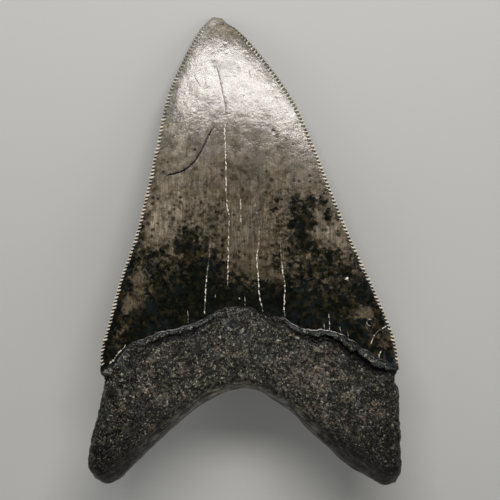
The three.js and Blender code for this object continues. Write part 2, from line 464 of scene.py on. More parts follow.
CRACKS = (
    Crack(((-6.4, 97.6), (-5.6, 95), (-4.9, 91.4), (-4.2, 88.2), (-4.1, 85.4)), 0.16, CrackLayer.DARK),
    Crack((
        (-6.7, 83.6), (-7.9, 81.8), (-9, 79.5), (-10.2, 77.2), (-11.8, 75), (-13.9, 73.4), (-16, 72.7),
        (-18.4, 72.2),
    ), 0.44, CrackLayer.DARK),
    Crack(((-11.6, 95.5), (-9.9, 92.7)), 0.16, CrackLayer.DARK, 0.5),
    Crack(((1.2, 96.6), (1.6, 94.8)), 0.16, CrackLayer.DARK, 0.5),
    Crack(((6.7, 82.9), (6.7, 82.1)), 0.9, CrackLayer.DARK),
    Crack((
        (-4.1, 87), (-4.4, 82.9), (-4.2, 76.9), (-4.1, 72), (-3.9, 65.4), (-3.4, 63), (-3.5, 59.7),
        (-3.6, 53.9), (-3.8, 46.2),
    ), 0.24),
    Crack((
        (2.2, 68.6), (2.6, 65.2), (3.5, 60.5), (3.3, 56), (3, 53.5), (3.3, 49), (3.6, 44.5), (4.6, 40.2),
    ), 0.26, faint=0.45),
    Crack((
        (8.3, 57.5), (8.7, 52.1), (9, 49.8), (9.4, 47.6), (9.4, 45), (9.2, 42.4), (9.6, 38.9),
    ), 0.26, faint=0.33),
    Crack(((-7.7, 57.6), (-8.1, 52.3), (-8.5, 49.6), (-8.8, 45.9), (-9.1, 40)), 0.26, faint=0.42),
    Crack(((-0.7, 67.2), (-0.8, 64), (-0.7, 61.2)), 0.2, strength=0.7),
    Crack(((19.6, 40.6), (19.7, 36.4)), 0.22, strength=0.7),
    Crack(((22.2, 37.6), (22.3, 35.2)), 0.18, strength=0.5),
    Crack(((-12.9, 41.3), (-12.8, 38.2)), 0.18, strength=0.5),
    Crack(((0.2, 44.8), (0.3, 42.4)), 0.18, strength=0.4),
    Crack(((33.6, 38), (31.6, 36.9), (30.4, 35.9), (29.6, 34.4), (29, 33.2)), 0.24, strength=0.85),
    Crack(((9.1, 71.7), (10.9, 69.2)), 0.2, strength=0.35),
    Crack(((-31.6, 28.5), (-30, 30.2), (-28.2, 32.1), (-27.2, 33.3)), 0.3, strength=0.8),
    Crack(((23.5, 48.9), (24, 48.2)), 0.8, CrackLayer.PALE_BETWEEN),
    Crack(((-6.6, 44.7), (-6.6, 44.3)), 0.3, CrackLayer.PALE_BETWEEN, 0.7),
    Crack(((-1.1, 44.2), (-0.9, 43.9)), 0.34, CrackLayer.PALE_BETWEEN, 0.8),
    Crack(((18.4, 38.3), (18.4, 36.4)), 0.18, CrackLayer.PALE_BETWEEN, 0.45),
    Crack(((23.9, 36.2), (24.1, 34.2)), 0.18, CrackLayer.PALE_BETWEEN, 0.5),
    Crack((
        (29.9, 38.5), (29.6, 39.1), (29.1, 39.3), (28.5, 39.1), (28.3, 38.5), (28.5, 37.9), (29.1, 37.7),
        (29.7, 38),
    ), 0.2, CrackLayer.PALE_BETWEEN, 0.4),
    Crack((
        (32, 32.4), (31.3, 31.2), (31.4, 29.8), (32.4, 28), (33.8, 26.6),
    ), 0.26, CrackLayer.PALE_BETWEEN, 0.9),
)


def crack_fields(places: np.ndarray, layer: CrackLayer) -> np.ndarray:
    """Numbers of the nearest crack of a layer at each place.

    Args:
        places: array of shape (n, 3) in the tooth's frame.
        layer: the set of cracks.

    Returns:
        Array of shape (n, 3) of the signed distance, half the width and the strength.
    """
    marks, distances = zip(*(crack.mark(places) for crack in CRACKS if crack.layer is layer))
    nearest = np.argmin(np.stack(distances), axis=0)
    return np.stack(marks)[nearest, np.arange(len(places))]


# ---------------------------------------------------------------------------------------------------------
# Patches of stain and tone
# ---------------------------------------------------------------------------------------------------------


@dataclass(frozen=True)
class Patch:
    """Soft patch on the tooth, in millimetres: a bell of the distance from its middle."""

    middle_x: float
    middle_y: float
    reach_x: float
    reach_y: float
    amount: float

    def read(self, x: np.ndarray, y: np.ndarray) -> np.ndarray:
        """The patch's height at each place."""
        away = ((x - self.middle_x) / self.reach_x) ** 2 + ((y - self.middle_y) / self.reach_y) ** 2
        return self.amount * np.exp(-away)


# Where the enamel is darker or lighter than the climb towards the root makes it.
STAIN_PATCHES = (
    Patch(-13.1, 56.2, 2.4, 2.4, 0.5), Patch(-13.6, 59.2, 0.9, 1.6, 0.3),
    Patch(-13.4, 61.5, 1.6, 0.9, 0.28), Patch(-6.3, 64.6, 0.7, 1.1, 0.4), Patch(-6.4, 61.8, 0.8, 0.7, 0.3),
    Patch(-9.2, 50.8, 3.4, 4.4, 0.36), Patch(-12, 45, 7, 3.4, 0.25), Patch(-23, 55, 0.8, 0.7, 0.4),
    Patch(-19.2, 55, 1.3, 0.9, 0.38), Patch(-21.2, 53.9, 0.9, 0.8, 0.3), Patch(-23.9, 48.6, 2.4, 2.3, -0.5),
    Patch(-23.2, 44.8, 1.6, 1.8, -0.42), Patch(-26.5, 42.8, 1.9, 2.2, -0.95),
    Patch(-19.4, 60, 4.4, 5.6, -0.3), Patch(-15, 49.2, 3, 2.4, -0.12), Patch(-27.5, 37, 2.2, 2.4, -0.28),
    Patch(12.9, 60.6, 2.7, 4.2, 0.66), Patch(14.6, 56, 2.4, 1.8, 0.4), Patch(-14, 50, 6, 6, 0.12),
    Patch(21, 52.4, 4, 3, 0.28), Patch(-25, 37.5, 4, 3, 0.12), Patch(-29, 36, 3, 5, -0.4),
    Patch(31.5, 34.5, 3.5, 4, -0.45), Patch(30.5, 40.2, 0.6, 0.6, 0.8), Patch(14.5, 64.6, 1.5, 1.6, 0.26),
    Patch(15.9, 66.8, 0.7, 2.4, 0.3), Patch(17.6, 66.6, 1.1, 1.0, 0.34), Patch(19.2, 63.3, 0.9, 1.2, 0.55),
    Patch(19, 66, 0.7, 0.7, 0.3), Patch(16.4, 61.4, 0.6, 0.6, 0.3), Patch(18.6, 59.4, 3.6, 3, -0.36),
    Patch(23.2, 54.6, 1.6, 3.6, -0.16), Patch(24, 50.2, 2.2, 1.1, 0.22), Patch(27.9, 46, 2.3, 2.9, 0.36),
    Patch(27.5, 40.6, 3.4, 2.3, -0.75), Patch(33.8, 34.8, 1.6, 2, -0.4), Patch(17.3, 46.4, 4.5, 3, -0.16),
    Patch(0.8, 56, 6, 6.5, -0.34), Patch(3.5, 49.2, 4, 3.4, -0.3), Patch(7, 50, 1.6, 1.2, -0.15),
    Patch(0, 43.6, 12, 2.2, 0.35), Patch(8.3, 43.4, 4.5, 3, 0.3), Patch(9, 66, 4, 2.6, 0.08),
    Patch(4.6, 64.6, 1.6, 0.8, 0.12),
)

# Where the ground under the stain is paler or greyer; the last ones dull the gloss near the tip.
TONE_PATCHES = (
    Patch(-26.5, 42.8, 1.8, 2.2, 0.55), Patch(15, 26.5, 6, 5.5, 0.7), Patch(-21.6, 29.5, 1.6, 1.4, 0.6),
    Patch(25, 14, 4, 4, 0.3), Patch(-14.5, 79, 5, 8, 0.22), Patch(-17.5, 62, 5, 8, 0.5),
    Patch(-24, 48, 4, 6, 0.5), Patch(-2, 76, 4.5, 7, -0.16), Patch(10.5, 78, 4, 7, 0.1),
    Patch(-9, 68, 4, 4, -0.08), Patch(4, 67, 7, 6, -0.12),
    Patch(18.6, 59.4, 4, 3.4, 0.3), Patch(27.5, 41, 4, 3, 0.3), Patch(1.5, 57, 5, 6, 0.02),
    Patch(-6.2, 107, 4, 2.4, 0.25), Patch(-6.5, 102.5, 2.4, 1.2, -0.25), Patch(-4.5, 97.6, 3.2, 1.6, -0.36),
)


# ---------------------------------------------------------------------------------------------------------
# Mesh of the tooth
# ---------------------------------------------------------------------------------------------------------


@dataclass
class ToothMesh:
    """Closed mesh of the tooth with its serrations, ledge, cracks and worn root.

    Rows of points run round the tooth, one for each rise: along the lip face from left to right and back
    along the tongue face. The first row is folded flat along the root's underside, and the last closes on
    the tip.
    Beside the cutting edges each gap between rows is cut into finer ones, which carry the serrations.
    """

    form: ToothForm = field(default_factory=ToothForm)
    lip_columns: int = 188
    serrations: int = 100
    rows_per_serration: int = 2
    splits: int = 3
    serrated_share: float = 0.965
    strip: Sequence[float] = (0, 0.2, 0.42, 0.66, 0.92, 1.2)
    back_strip: Sequence[float] = (0, 0.25, 0.55, 0.9, 1.3)
    rib_height: float = 0.17
    band_depth: float = 0.06
    scallop: float = 0.3
    scallop_reach: float = 0.4
    crack_furrow: float = 0.045
    crown_length: float = 66.0
    root_length: float = 21.0

    # The ledge below the enamel line, as (x, size) pairs.
    ledge_width: Pairs = (
        (-34, 1.3), (-27, 1.9), (-22, 1.0), (-12, 0.7), (-5, 0.45), (2, 0.4), (8, 0.6), (14, 0.9), (22, 1.5),
        (30, 1.8), (36, 0.8),
    )
    ledge_height: Pairs = (
        (-34, 0.3), (-27, 0.42), (-20, 0.26), (-9, 0.24), (-5, 0.03), (4, 0.02), (8, 0.18), (20, 0.42),
        (30, 0.5), (36, 0.2),
    )
    groove_width: Pairs = (
        (-34, 0.4), (-27, 0.5), (-20, 1.2), (-12, 1.1), (-6, 0.6), (0, 0.6), (7, 0.7), (14, 1.1), (24, 1.5),
        (31, 1.6), (36, 0.8),
    )
    groove_depth: Pairs = (
        (-34, 0.05), (-26, 0.12), (-20, 0.5), (-12, 0.45), (-6, 0.2), (0, 0.12), (8, 0.35), (14, 0.6),
        (24, 1.3), (31, 1.3), (36, 0.5),
    )
    second_ridge: Pairs = ((-24, 0), (-20, 1), (-8, 1), (-4, 0.3), (0, 0))
    ledge_riser: float = 0.32
    ridge_height: float = 0.42

    # How dark the stain is and how pale the ground is, as (y, share) pairs.
    stain_climb: Pairs = (
        (36, 0.98), (41, 0.9), (44, 0.8), (48, 0.64), (52, 0.5), (56, 0.38), (61, 0.26), (67, 0.16),
        (75, 0.09), (84, 0.04), (95, 0.0),
    )
    tone_climb: Pairs = ((38, 0.2), (52, 0.34), (63, 0.46), (74, 0.53), (82, 0.56), (92, 0.58), (109, 0.55))

    rise: np.ndarray = field(init=False)
    across: np.ndarray = field(init=False)
    side: np.ndarray = field(init=False)
    base: np.ndarray = field(init=False)
    rings: np.ndarray = field(init=False)
    strips: np.ndarray = field(init=False)
    fine: np.ndarray = field(init=False)
    turn: np.ndarray = field(init=False)
    shift: np.ndarray = field(init=False)
    faces: list[list[int]] = field(init=False, default_factory=list)

    def __post_init__(self) -> None:
        """Works out the rows, the points' parameters and the faces."""
        self.tongue_columns = self.lip_columns // 2
        self.ring = self.lip_columns + self.tongue_columns
        self.rises = self.row_rises()
        self.lay_points()
        self.lay_faces()

    def row_rises(self) -> np.ndarray:
        """Rise of each row: close together on the rounded underside, at the ledge and on the blade.

        Returns:
            Array of rises.
        """
        rounding = 0.09 * np.linspace(0, 1, 10) ** 1.8
        body = np.linspace(0.09, 0.8, 51)[1:]
        ledge = np.linspace(0.8, 0.985, 22)[1:]
        riser = [0.99, 0.995, 1.0]
        blade = 1 + np.linspace(0, self.serrated_share, self.serrations * self.rows_per_serration + 1)[1:]
        tip = 1 + self.serrated_share + (0.997 - self.serrated_share) * np.linspace(0, 1, 9)[1:]
        self.blade_start = len(rounding) + len(body) + len(ledge) + len(riser) - 1
        return np.concatenate([rounding, body, ledge, riser, blade, tip])

    def across_at(self, rise: np.ndarray, column: np.ndarray) -> np.ndarray:
        """Place across the tooth of each ring column.

        On the root the columns crowd towards the sides like the sine of an even spread, which keeps the sides
        round. On the blade the columns beside each edge keep the strip's distances and the rest is even.

        Args:
            rise: array of rises.
            column: array of ring columns of the same shape.

        Returns:
            Array of places from -1 to 1.
        """
        lip = column <= self.lip_columns
        back_column = self.ring - column
        even = np.where(lip, 2 * column / self.lip_columns - 1, 2 * back_column / self.tongue_columns - 1)
        crowded = np.sin(even * math.pi / 2)
        left_x, _, right_x, _ = self.form.edges(rise)
        half_width = np.maximum((right_x - left_x) / 2, 1e-6)
        inner = np.where(lip, self.blade_places(column, self.lip_columns, self.strip, half_width),
                         self.blade_places(back_column, self.tongue_columns, self.back_strip, half_width))
        return np.clip(mixed(crowded, inner, smooth_step(rise, 0.86, 1.04)), -1, 1)

    @staticmethod
    def blade_places(column: np.ndarray, count: int, strip: Sequence[float], half: np.ndarray) -> np.ndarray:
        """Places across the blade for a face's columns.

        Args:
            column: array of the face's columns, 0 to count.
            count: how many columns the face has.
            strip: distances from the edge of the first columns, in millimetres.
            half: array of half the blade's width.

        Returns:
            Array of places from -1 to 1.
        """
        last = len(strip) - 1
        shrink = np.minimum(1, 0.4 * half / strip[-1])
        from_edge = np.minimum(column, count - column)
        near = np.interp(from_edge, np.arange(len(strip)), strip) * shrink / half
        edge = strip[-1] * shrink / half
        inner = edge + (1 - edge) * (from_edge - last) / (count / 2 - last)
        gap = np.where(from_edge <= last, near, inner)
        return np.where(column * 2 <= count, gap - 1, 1 - gap)

    def side_of(self, column: np.ndarray) -> np.ndarray:
        """1 for lip columns, -1 for tongue columns and 0 for the two edge columns."""
        edge = (column == 0) | (column == self.lip_columns)
        return np.where(edge, 0, np.where(column < self.lip_columns, Side.LIP.value, Side.TONGUE.value))

    def lay_points(self) -> None:
        """Numbers the points of the rows and of the finer rows beside the edges, and places them."""
        rows, ring = len(self.rises), self.ring
        fold = np.arange(self.lip_columns + 1)
        row, column = np.meshgrid(np.arange(1, rows), np.arange(ring), indexing="ij")
        rise = [np.zeros(len(fold)), self.rises[row].ravel()]
        columns = [fold, column.ravel()]
        sides = [np.zeros(len(fold), dtype=int), self.side_of(column.ravel())]

        self.rings = np.empty((rows, ring), dtype=int)
        self.rings[0, : self.lip_columns + 1] = fold
        back = np.arange(self.lip_columns + 1, ring)
        self.rings[0, back] = 2 * (ring - back)
        self.rings[1:] = len(fold) + (row - 1) * ring + column
        count = len(fold) + (rows - 1) * ring

        lip, tongue = len(self.strip), len(self.back_strip) - 1
        left = np.concatenate([np.arange(ring - tongue, ring), np.arange(lip)])
        right = np.arange(self.lip_columns - lip + 1, self.lip_columns + tongue + 1)
        self.strips = np.stack([left, right])
        gaps = self.serrations * self.rows_per_serration
        start = self.rises[self.blade_start : self.blade_start + gaps]
        end = self.rises[self.blade_start + 1 : self.blade_start + gaps + 1]
        part = np.arange(1, self.splits) / self.splits
        fine_rise = mixed(start[:, None], end[:, None], part)[:, :, None, None]
        shape = (gaps, self.splits - 1, *self.strips.shape)
        rise.append(np.broadcast_to(fine_rise, shape).ravel())
        columns.append(np.broadcast_to(self.strips, shape).ravel())
        sides.append(self.side_of(columns[-1]))
        new = count + np.arange(np.prod(shape)).reshape(shape)
        low = self.rings[self.blade_start : self.blade_start + gaps][:, self.strips][:, None]
        high = self.rings[self.blade_start + 1 : self.blade_start + gaps + 1][:, self.strips][:, None]
        self.fine = np.concatenate([low, new, high], axis=1)
        self.apex = count + new.size

        self.rise = np.concatenate([*rise, [2.0]])
        self.across = self.across_at(np.concatenate(rise), np.concatenate(columns))
        self.across = np.concatenate([self.across, [0.0]])
        self.side = np.concatenate([*sides, [0]])
        self.base = self.form.surface(self.rise, self.across, self.side)

    def lay_faces(self) -> None:
        """Joins the points: four-sided faces, five-sided at the fold and six-sided beside the finer rows."""
        lip, ring = self.lip_columns, self.ring
        following = np.roll(np.arange(ring), -1)
        low, high = self.rings[:-1], self.rings[1:]
        quads = np.stack([low, low[:, following], high[:, following], high], axis=-1)
        kept = np.ones(quads.shape[:2], dtype=bool)
        kept[0, lip:] = False
        next_row = self.rings[1].tolist()
        faces = [
            [2 * k, 2 * k - 1, 2 * k - 2, next_row[(ring - k + 1) % ring], next_row[ring - k]]
            for k in range(1, self.tongue_columns + 1)
        ]
        gaps = slice(self.blade_start, self.blade_start + len(self.fine))
        for strip in range(2):
            columns = self.strips[strip]
            kept[gaps, columns[:-1]] = False
            kept[gaps, columns[0] - 1] = False
            kept[gaps, columns[-1]] = False
            fine = self.fine[:, :, strip]
            below, above = fine[:, :-1], fine[:, 1:]
            cells = np.stack([below[..., :-1], below[..., 1:], above[..., 1:], above[..., :-1]], axis=-1)
            faces += cells.reshape(-1, 4).tolist()
            before = [low[gaps, columns[0] - 1], *fine[:, :, 0].T, high[gaps, columns[0] - 1]]
            after = [low[gaps, columns[-1] + 1], high[gaps, columns[-1] + 1], *fine[:, ::-1, -1].T]
            faces += np.stack(before, axis=-1).tolist()
            faces += np.stack(after, axis=-1).tolist()
        faces += quads[kept].tolist()
        last = self.rings[-1]
        faces += np.stack([last, last[following], np.full(ring, self.apex)], axis=-1).tolist()
        self.faces = faces

    # ---- Fine relief ----

    def edge_gap(self) -> np.ndarray:
        """Distance of each point from its cutting edge along its face, in millimetres."""
        left_x, _, right_x, _ = self.form.edges(self.rise)
        return (1 - np.abs(self.across)) * (right_x - left_x) / 2 * 0.94

    def outward(self) -> np.ndarray:
        """Direction in the plane that points straight out of the nearer cutting edge at each point's rise.

        Returns:
            Array of shape (n, 2) of unit vectors.
        """
        step = 0.004
        before = self.form.edges(np.clip(self.rise - step, 1, 2))
        after = self.form.edges(np.clip(self.rise + step, 1, 2))
        left = np.stack([before[1] - after[1], after[0] - before[0]], axis=1)
        right = np.stack([after[3] - before[3], before[2] - after[2]], axis=1)
        way = np.where(self.across[:, None] < 0, left, right)
        return way / np.maximum(np.hypot(*way.T), 1e-9)[:, None]

    def beads(self) -> tuple[np.ndarray, np.ndarray]:
        """Serrations as a row of small ribs square to the cutting edge.

        Each rib is a raised cosine of the way up the edge, slanted to stay square to it, and fades a
        millimetre in from the edge. Each has its own size.

        Returns:
            Array of how far each point is up its rib, 0 to 1, and array of the serrated band, 0 to 1.
        """
        gap = self.edge_gap()
        pitch = self.serrated_share / self.serrations
        outward = self.outward()
        slant = outward[:, 1] / np.maximum(np.abs(outward[:, 0]), 0.35)
        edge_length = 86.0
        turn = (self.rise - 1) / pitch + gap * slant / (pitch * edge_length)
        number = np.clip(np.floor(turn).astype(int), 0, self.serrations + 5)
        draw = np.random.default_rng(11)
        size = draw.uniform(0.55, 1.0, (2, self.serrations + 6))
        reach = draw.uniform(0.75, 1.15, (2, self.serrations + 6))
        right = (self.across > 0).astype(int)
        bell = 0.5 - 0.5 * np.cos(2 * math.pi * turn)
        band = smooth_step(gap, 1.25 * reach[right, number], 0.55 * reach[right, number])
        span = smooth_step(self.rise, 1.0, 1.02) * smooth_step(self.rise, 1 + self.serrated_share, 1.94)
        return bell**1.3 * size[right, number] * band * span, band * span

    def ledge_relief(self) -> tuple[np.ndarray, np.ndarray, np.ndarray]:
        """Relief just below the enamel line on the lip face: a raised strip, a groove and a second ridge.

        Each is a smooth box of the distance below the line, whose width and height change across the tooth.

        Returns:
            Arrays of the height in millimetres, the strip's mask and the groove's mask.
        """
        x = self.base[:, 0]
        column_height = self.form.plane(np.ones_like(self.across), self.across)[1]
        column_height = column_height - self.form.plane(np.zeros_like(self.across), self.across)[1]
        below = (1 - self.rise) * column_height
        flat = np.stack([x, np.zeros_like(x), np.zeros_like(x)], axis=1)
        wander = RandomField(31).layered(flat, 3.2, 3)
        jag = RandomField(35).layered(flat, 1.5, 3)
        crust = RandomField(45).layered(self.base, (1.5, 0.8, 1.5), 3)
        width = smooth_curve(self.ledge_width)(x) * (1 + 0.4 * wander + 0.4 * jag)
        height = smooth_curve(self.ledge_height)(x) * (1 + 0.45 * jag + 0.6 * crust)
        groove_width = smooth_curve(self.groove_width)(x) * (1 + 0.3 * RandomField(41).layered(flat, 2.0, 2))
        groove_depth = smooth_curve(self.groove_depth)(x)
        strip = smooth_step(below, 0.0, self.ledge_riser) * smooth_step(below, width + 0.2, width)
        groove = smooth_step(below, width, width + 0.3)
        groove *= smooth_step(below, width + groove_width + 0.5, width + groove_width)
        place = width + groove_width + 0.35 + 0.5 * wander
        ridge = np.exp(-(((below - place) / 0.42) ** 2)) * (0.75 + 0.6 * jag + 0.5 * crust)
        ridge *= smooth_curve(self.second_ridge)(x)
        lip = (self.side > 0) * smooth_step(np.abs(self.across), 1.0, 0.97)
        relief = (height * strip - groove_depth * groove + self.ridge_height * ridge) * lip
        return relief, (strip + 0.8 * ridge) * lip, groove * groove_depth * lip

    def ragged_line(self) -> np.ndarray:
        """Shift along y that makes the enamel line ragged: random fields over x that die away beside it.

        Returns:
            Array of shifts in millimetres.
        """
        x = self.base[:, 0]
        flat = np.stack([x, np.zeros_like(x), np.zeros_like(x)], axis=1)
        teeth = 0.42 * RandomField(91).layered(flat, 1.9, 3) + 0.3 * RandomField(95).layered(flat, 6.0, 1)
        off_line = (self.rise - 1) * np.where(self.rise > 1, self.crown_length, self.root_length)
        inside = smooth_step(np.abs(self.across), 0.97, 0.9) * (self.side > 0)
        return teeth * np.exp(-((off_line / 1.3) ** 2)) * inside

    def root_relief(self) -> tuple[np.ndarray, np.ndarray]:
        """Worn, pitted surface of the root.

        Sums of random fields from 7 mm down to 0.6 mm, stretched along the rows so that they follow the
        lobes, with pits where a finer field is lowest. The rim of the arch stays smoother.

        Returns:
            Arrays of the height in millimetres and of the pits, 0 to 1.
        """
        x, y, z = self.base.T
        run = np.stack([x * 0.75, y + 0.75 * np.abs(x), z], axis=1)
        broad = RandomField(51).layered(self.base, 7.0, 2)
        grain = RandomField(55).layered(run, (2.2, 1.1, 1.6), 3)
        pits = smooth_step(RandomField(61).layered(run, (1.5, 0.9, 1.2), 2), -0.35, -0.75)
        rim = smooth_step(self.rise, 0.17, 0.06)
        furrow = RandomField(65).layered(np.stack([x * 0.2, self.rise * 22, z * 0.1], axis=1), 1.1, 2)
        in_root = smooth_step(self.rise, 1.0, 0.985)
        height = 0.24 * broad + (0.2 * grain - 0.34 * pits) * (1 - 0.6 * rim) + 0.09 * furrow * rim
        return height * in_root, pits * in_root * (1 - 0.7 * rim)

    def tongue_relief(self) -> tuple[np.ndarray, np.ndarray]:
        """Neck band below the enamel of the tongue face, and the nutrient hole in the middle of the root.

        The band is widest in the middle and points towards the tip.

        Returns:
            Arrays of the height in millimetres and of the neck band, 0 to 1.
        """
        upper = 1.015 + 0.085 * np.clip(1 - np.abs(self.across) ** 1.3, 0, 1)
        band = smooth_step(self.rise, upper + 0.004, upper) * smooth_step(self.rise, 0.975, 0.99)
        x, y, _ = self.base.T
        hole = np.exp(-(((x - 0.6) / 0.8) ** 2) - (((self.rise - 0.84) / 0.035) ** 2))
        back = (self.side < 0).astype(float)
        return (-0.22 * band - 1.6 * hole) * back, band * back

    def crown_relief(self) -> np.ndarray:
        """Slight unevenness of the enamel: broad waves, upright ripples, a chip, a dent and a pit.

        Returns:
            Array of heights in millimetres.
        """
        x, y, _ = self.base.T
        in_crown = smooth_step(self.rise, 1.0, 1.012)
        waves = RandomField(71).layered(self.base, 9.0, 2)
        ripples = RandomField(75).layered(self.base * (1, 0.12, 1), 1.5, 2)
        low = smooth_step(y, 75, 42)
        swells = RandomField(78).layered(self.base * (1, 0.8, 1), 3.4, 2)
        height = 0.05 * waves + 0.02 * swells + (0.012 + 0.03 * low) * ripples
        chip = np.exp(-(((x + 19.6) / 0.7) ** 2) - (((y - 79.4) / 0.8) ** 2))
        dent = np.exp(-(((x + 6.7) / 0.9) ** 2) - (((y - 98.0) / 0.8) ** 2))
        pit = np.exp(-(((x - 6.7) / 0.32) ** 2) - (((y - 82.5) / 0.32) ** 2))
        lip = self.side >= 0
        return (height - (0.3 * chip + 0.12 * dent + 0.05 * pit) * lip) * in_crown

    def worn_tip(self) -> np.ndarray:
        """How far the worn tip stands out of its point all round, as a bell of the distance from it."""
        away = np.hypot(*(self.base[:, :2] - self.base[self.apex, :2]).T)
        return 0.42 * np.exp(-(((away - 1.0) / 1.1) ** 2)) * smooth_step(away, 0.1, 0.6)

    def build(self, name: str) -> bpy.types.Object:
        """Makes the finished object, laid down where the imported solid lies.

        Args:
            name: the object's name.

        Returns:
            The object, with its place in its mesh and its masks as attributes.
        """
        mesh = bpy.data.meshes.new(name)
        mesh.from_pydata(self.base.tolist(), [], self.faces)
        normals = np.empty(len(self.base) * 3)
        mesh.vertex_normals.foreach_get("vector", normals)
        normals = normals.reshape(-1, 3)

        rib, band = self.beads()
        ledge, strip, groove = self.ledge_relief()
        root, pits = self.root_relief()
        tongue, neck = self.tongue_relief()
        cracks = {layer: crack_fields(self.base, layer) for layer in CrackLayer}
        lip = (self.side > 0) & (self.rise > 1)
        furrows = sum(
            strength * np.minimum(half / 0.1, 1) * np.exp(-((signed / 0.28) ** 2)) * lip
            for signed, half, strength in (marks.T for marks in cracks.values())
        )

        quiet = 1 - smooth_step(ledge**2 + strip, 0.02, 0.5)
        height = ledge + root * (0.4 + 0.6 * quiet) + tongue + self.crown_relief()
        height -= self.crack_furrow * furrows
        height += self.rib_height * rib - self.band_depth * band
        outline = (rib - 0.45 * band) * self.scallop * np.exp(-self.edge_gap() / self.scallop_reach)
        points = self.base + normals * height[:, None]
        points[:, 1] += self.ragged_line()
        points[:, :2] += self.outward() * (outline + self.worn_tip())[:, None]
        points = self.lay_down(points)

        mesh.vertices.foreach_set("co", (points * MM).ravel())
        mesh.update()
        mesh.shade_smooth()
        self.write(mesh, "plan", self.base)
        self.write(mesh, "bead", np.stack([rib, band, self.edge_gap()], axis=1))
        self.write(mesh, "ledge", np.stack([strip, groove, pits], axis=1))
        self.write(mesh, "zone", np.stack([self.rise, self.across, self.side], axis=1))
        self.write(mesh, "stain", np.stack([self.stain(), neck, self.tone()], axis=1))
        for layer, marks in cracks.items():
            self.write(mesh, layer.value, marks)
        tooth = bpy.data.objects.new(name, mesh)
        bpy.context.scene.collection.objects.link(tooth)
        return tooth

    @staticmethod
    def write(mesh: bpy.types.Mesh, name: str, values: np.ndarray) -> None:
        """Stores three numbers for each point as an attribute that the finishes read."""
        layer = mesh.attributes.new(name, "FLOAT_VECTOR", "POINT")
        layer.data.foreach_set("vector", np.ascontiguousarray(values, dtype=np.float32).ravel())

    def stain(self) -> np.ndarray:
        """How much dark mineral the enamel has taken up, before it is broken into spots.

        A climb towards the root, with broad soft patches added and taken away. Each patch is a bell of the
        distance from its middle.

        Returns:
            Array of shares, about 0 to 1.
        """
        x, y, _ = self.base.T
        total = smooth_curve(self.stain_climb)(y + 0.07 * np.abs(x)) + self.patches(STAIN_PATCHES)
        margin = smooth_step(self.edge_gap(), 3.2, 1.4) * smooth_step(y, 68, 60) * smooth_step(y, 33, 38)
        total += 0.3 * margin * (x < 0)
        behind = 0.35 * smooth_step(self.rise, 1.6, 1.0) + 0.25 * RandomField(81).layered(self.base, 9.0, 2)
        return np.where(self.side < 0, total * 0.5 + behind, total)

    def tone(self) -> np.ndarray:
        """How pale and tan the enamel is under its stain: a climb to the tip with broad patches."""
        return smooth_curve(self.tone_climb)(self.base[:, 1]) + self.patches(TONE_PATCHES)

    def patches(self, table: Sequence[Patch]) -> np.ndarray:
        """Sum of the patches at each point."""
        x, y, _ = self.base.T
        return sum(patch.read(x, y) for patch in table)

    def lay_down(self, points: np.ndarray) -> np.ndarray:
        """Leans the points onto the root's bulge and the tip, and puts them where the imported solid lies.

        Args:
            points: array of shape (n, 3) in the tooth's frame.

        Returns:
            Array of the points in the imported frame, still in millimetres, none below the resting surface.
        """
        self.turn = np.array(Matrix.Rotation(-self.form.rest_lean, 3, "X"))
        smooth = self.base @ self.turn.T
        low, high = smooth.min(axis=0), smooth.max(axis=0)
        box = np.array(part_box("tooth")) / MM
        self.shift = box.mean(axis=0) - (low + high) / 2
        self.shift[2] = -(low[2] + self.form.worn_flat)
        laid = points @ self.turn.T + self.shift
        laid[:, 2] = np.maximum(laid[:, 2], 0)
        return laid


# ---------------------------------------------------------------------------------------------------------
# Shader building
# ---------------------------------------------------------------------------------------------------------


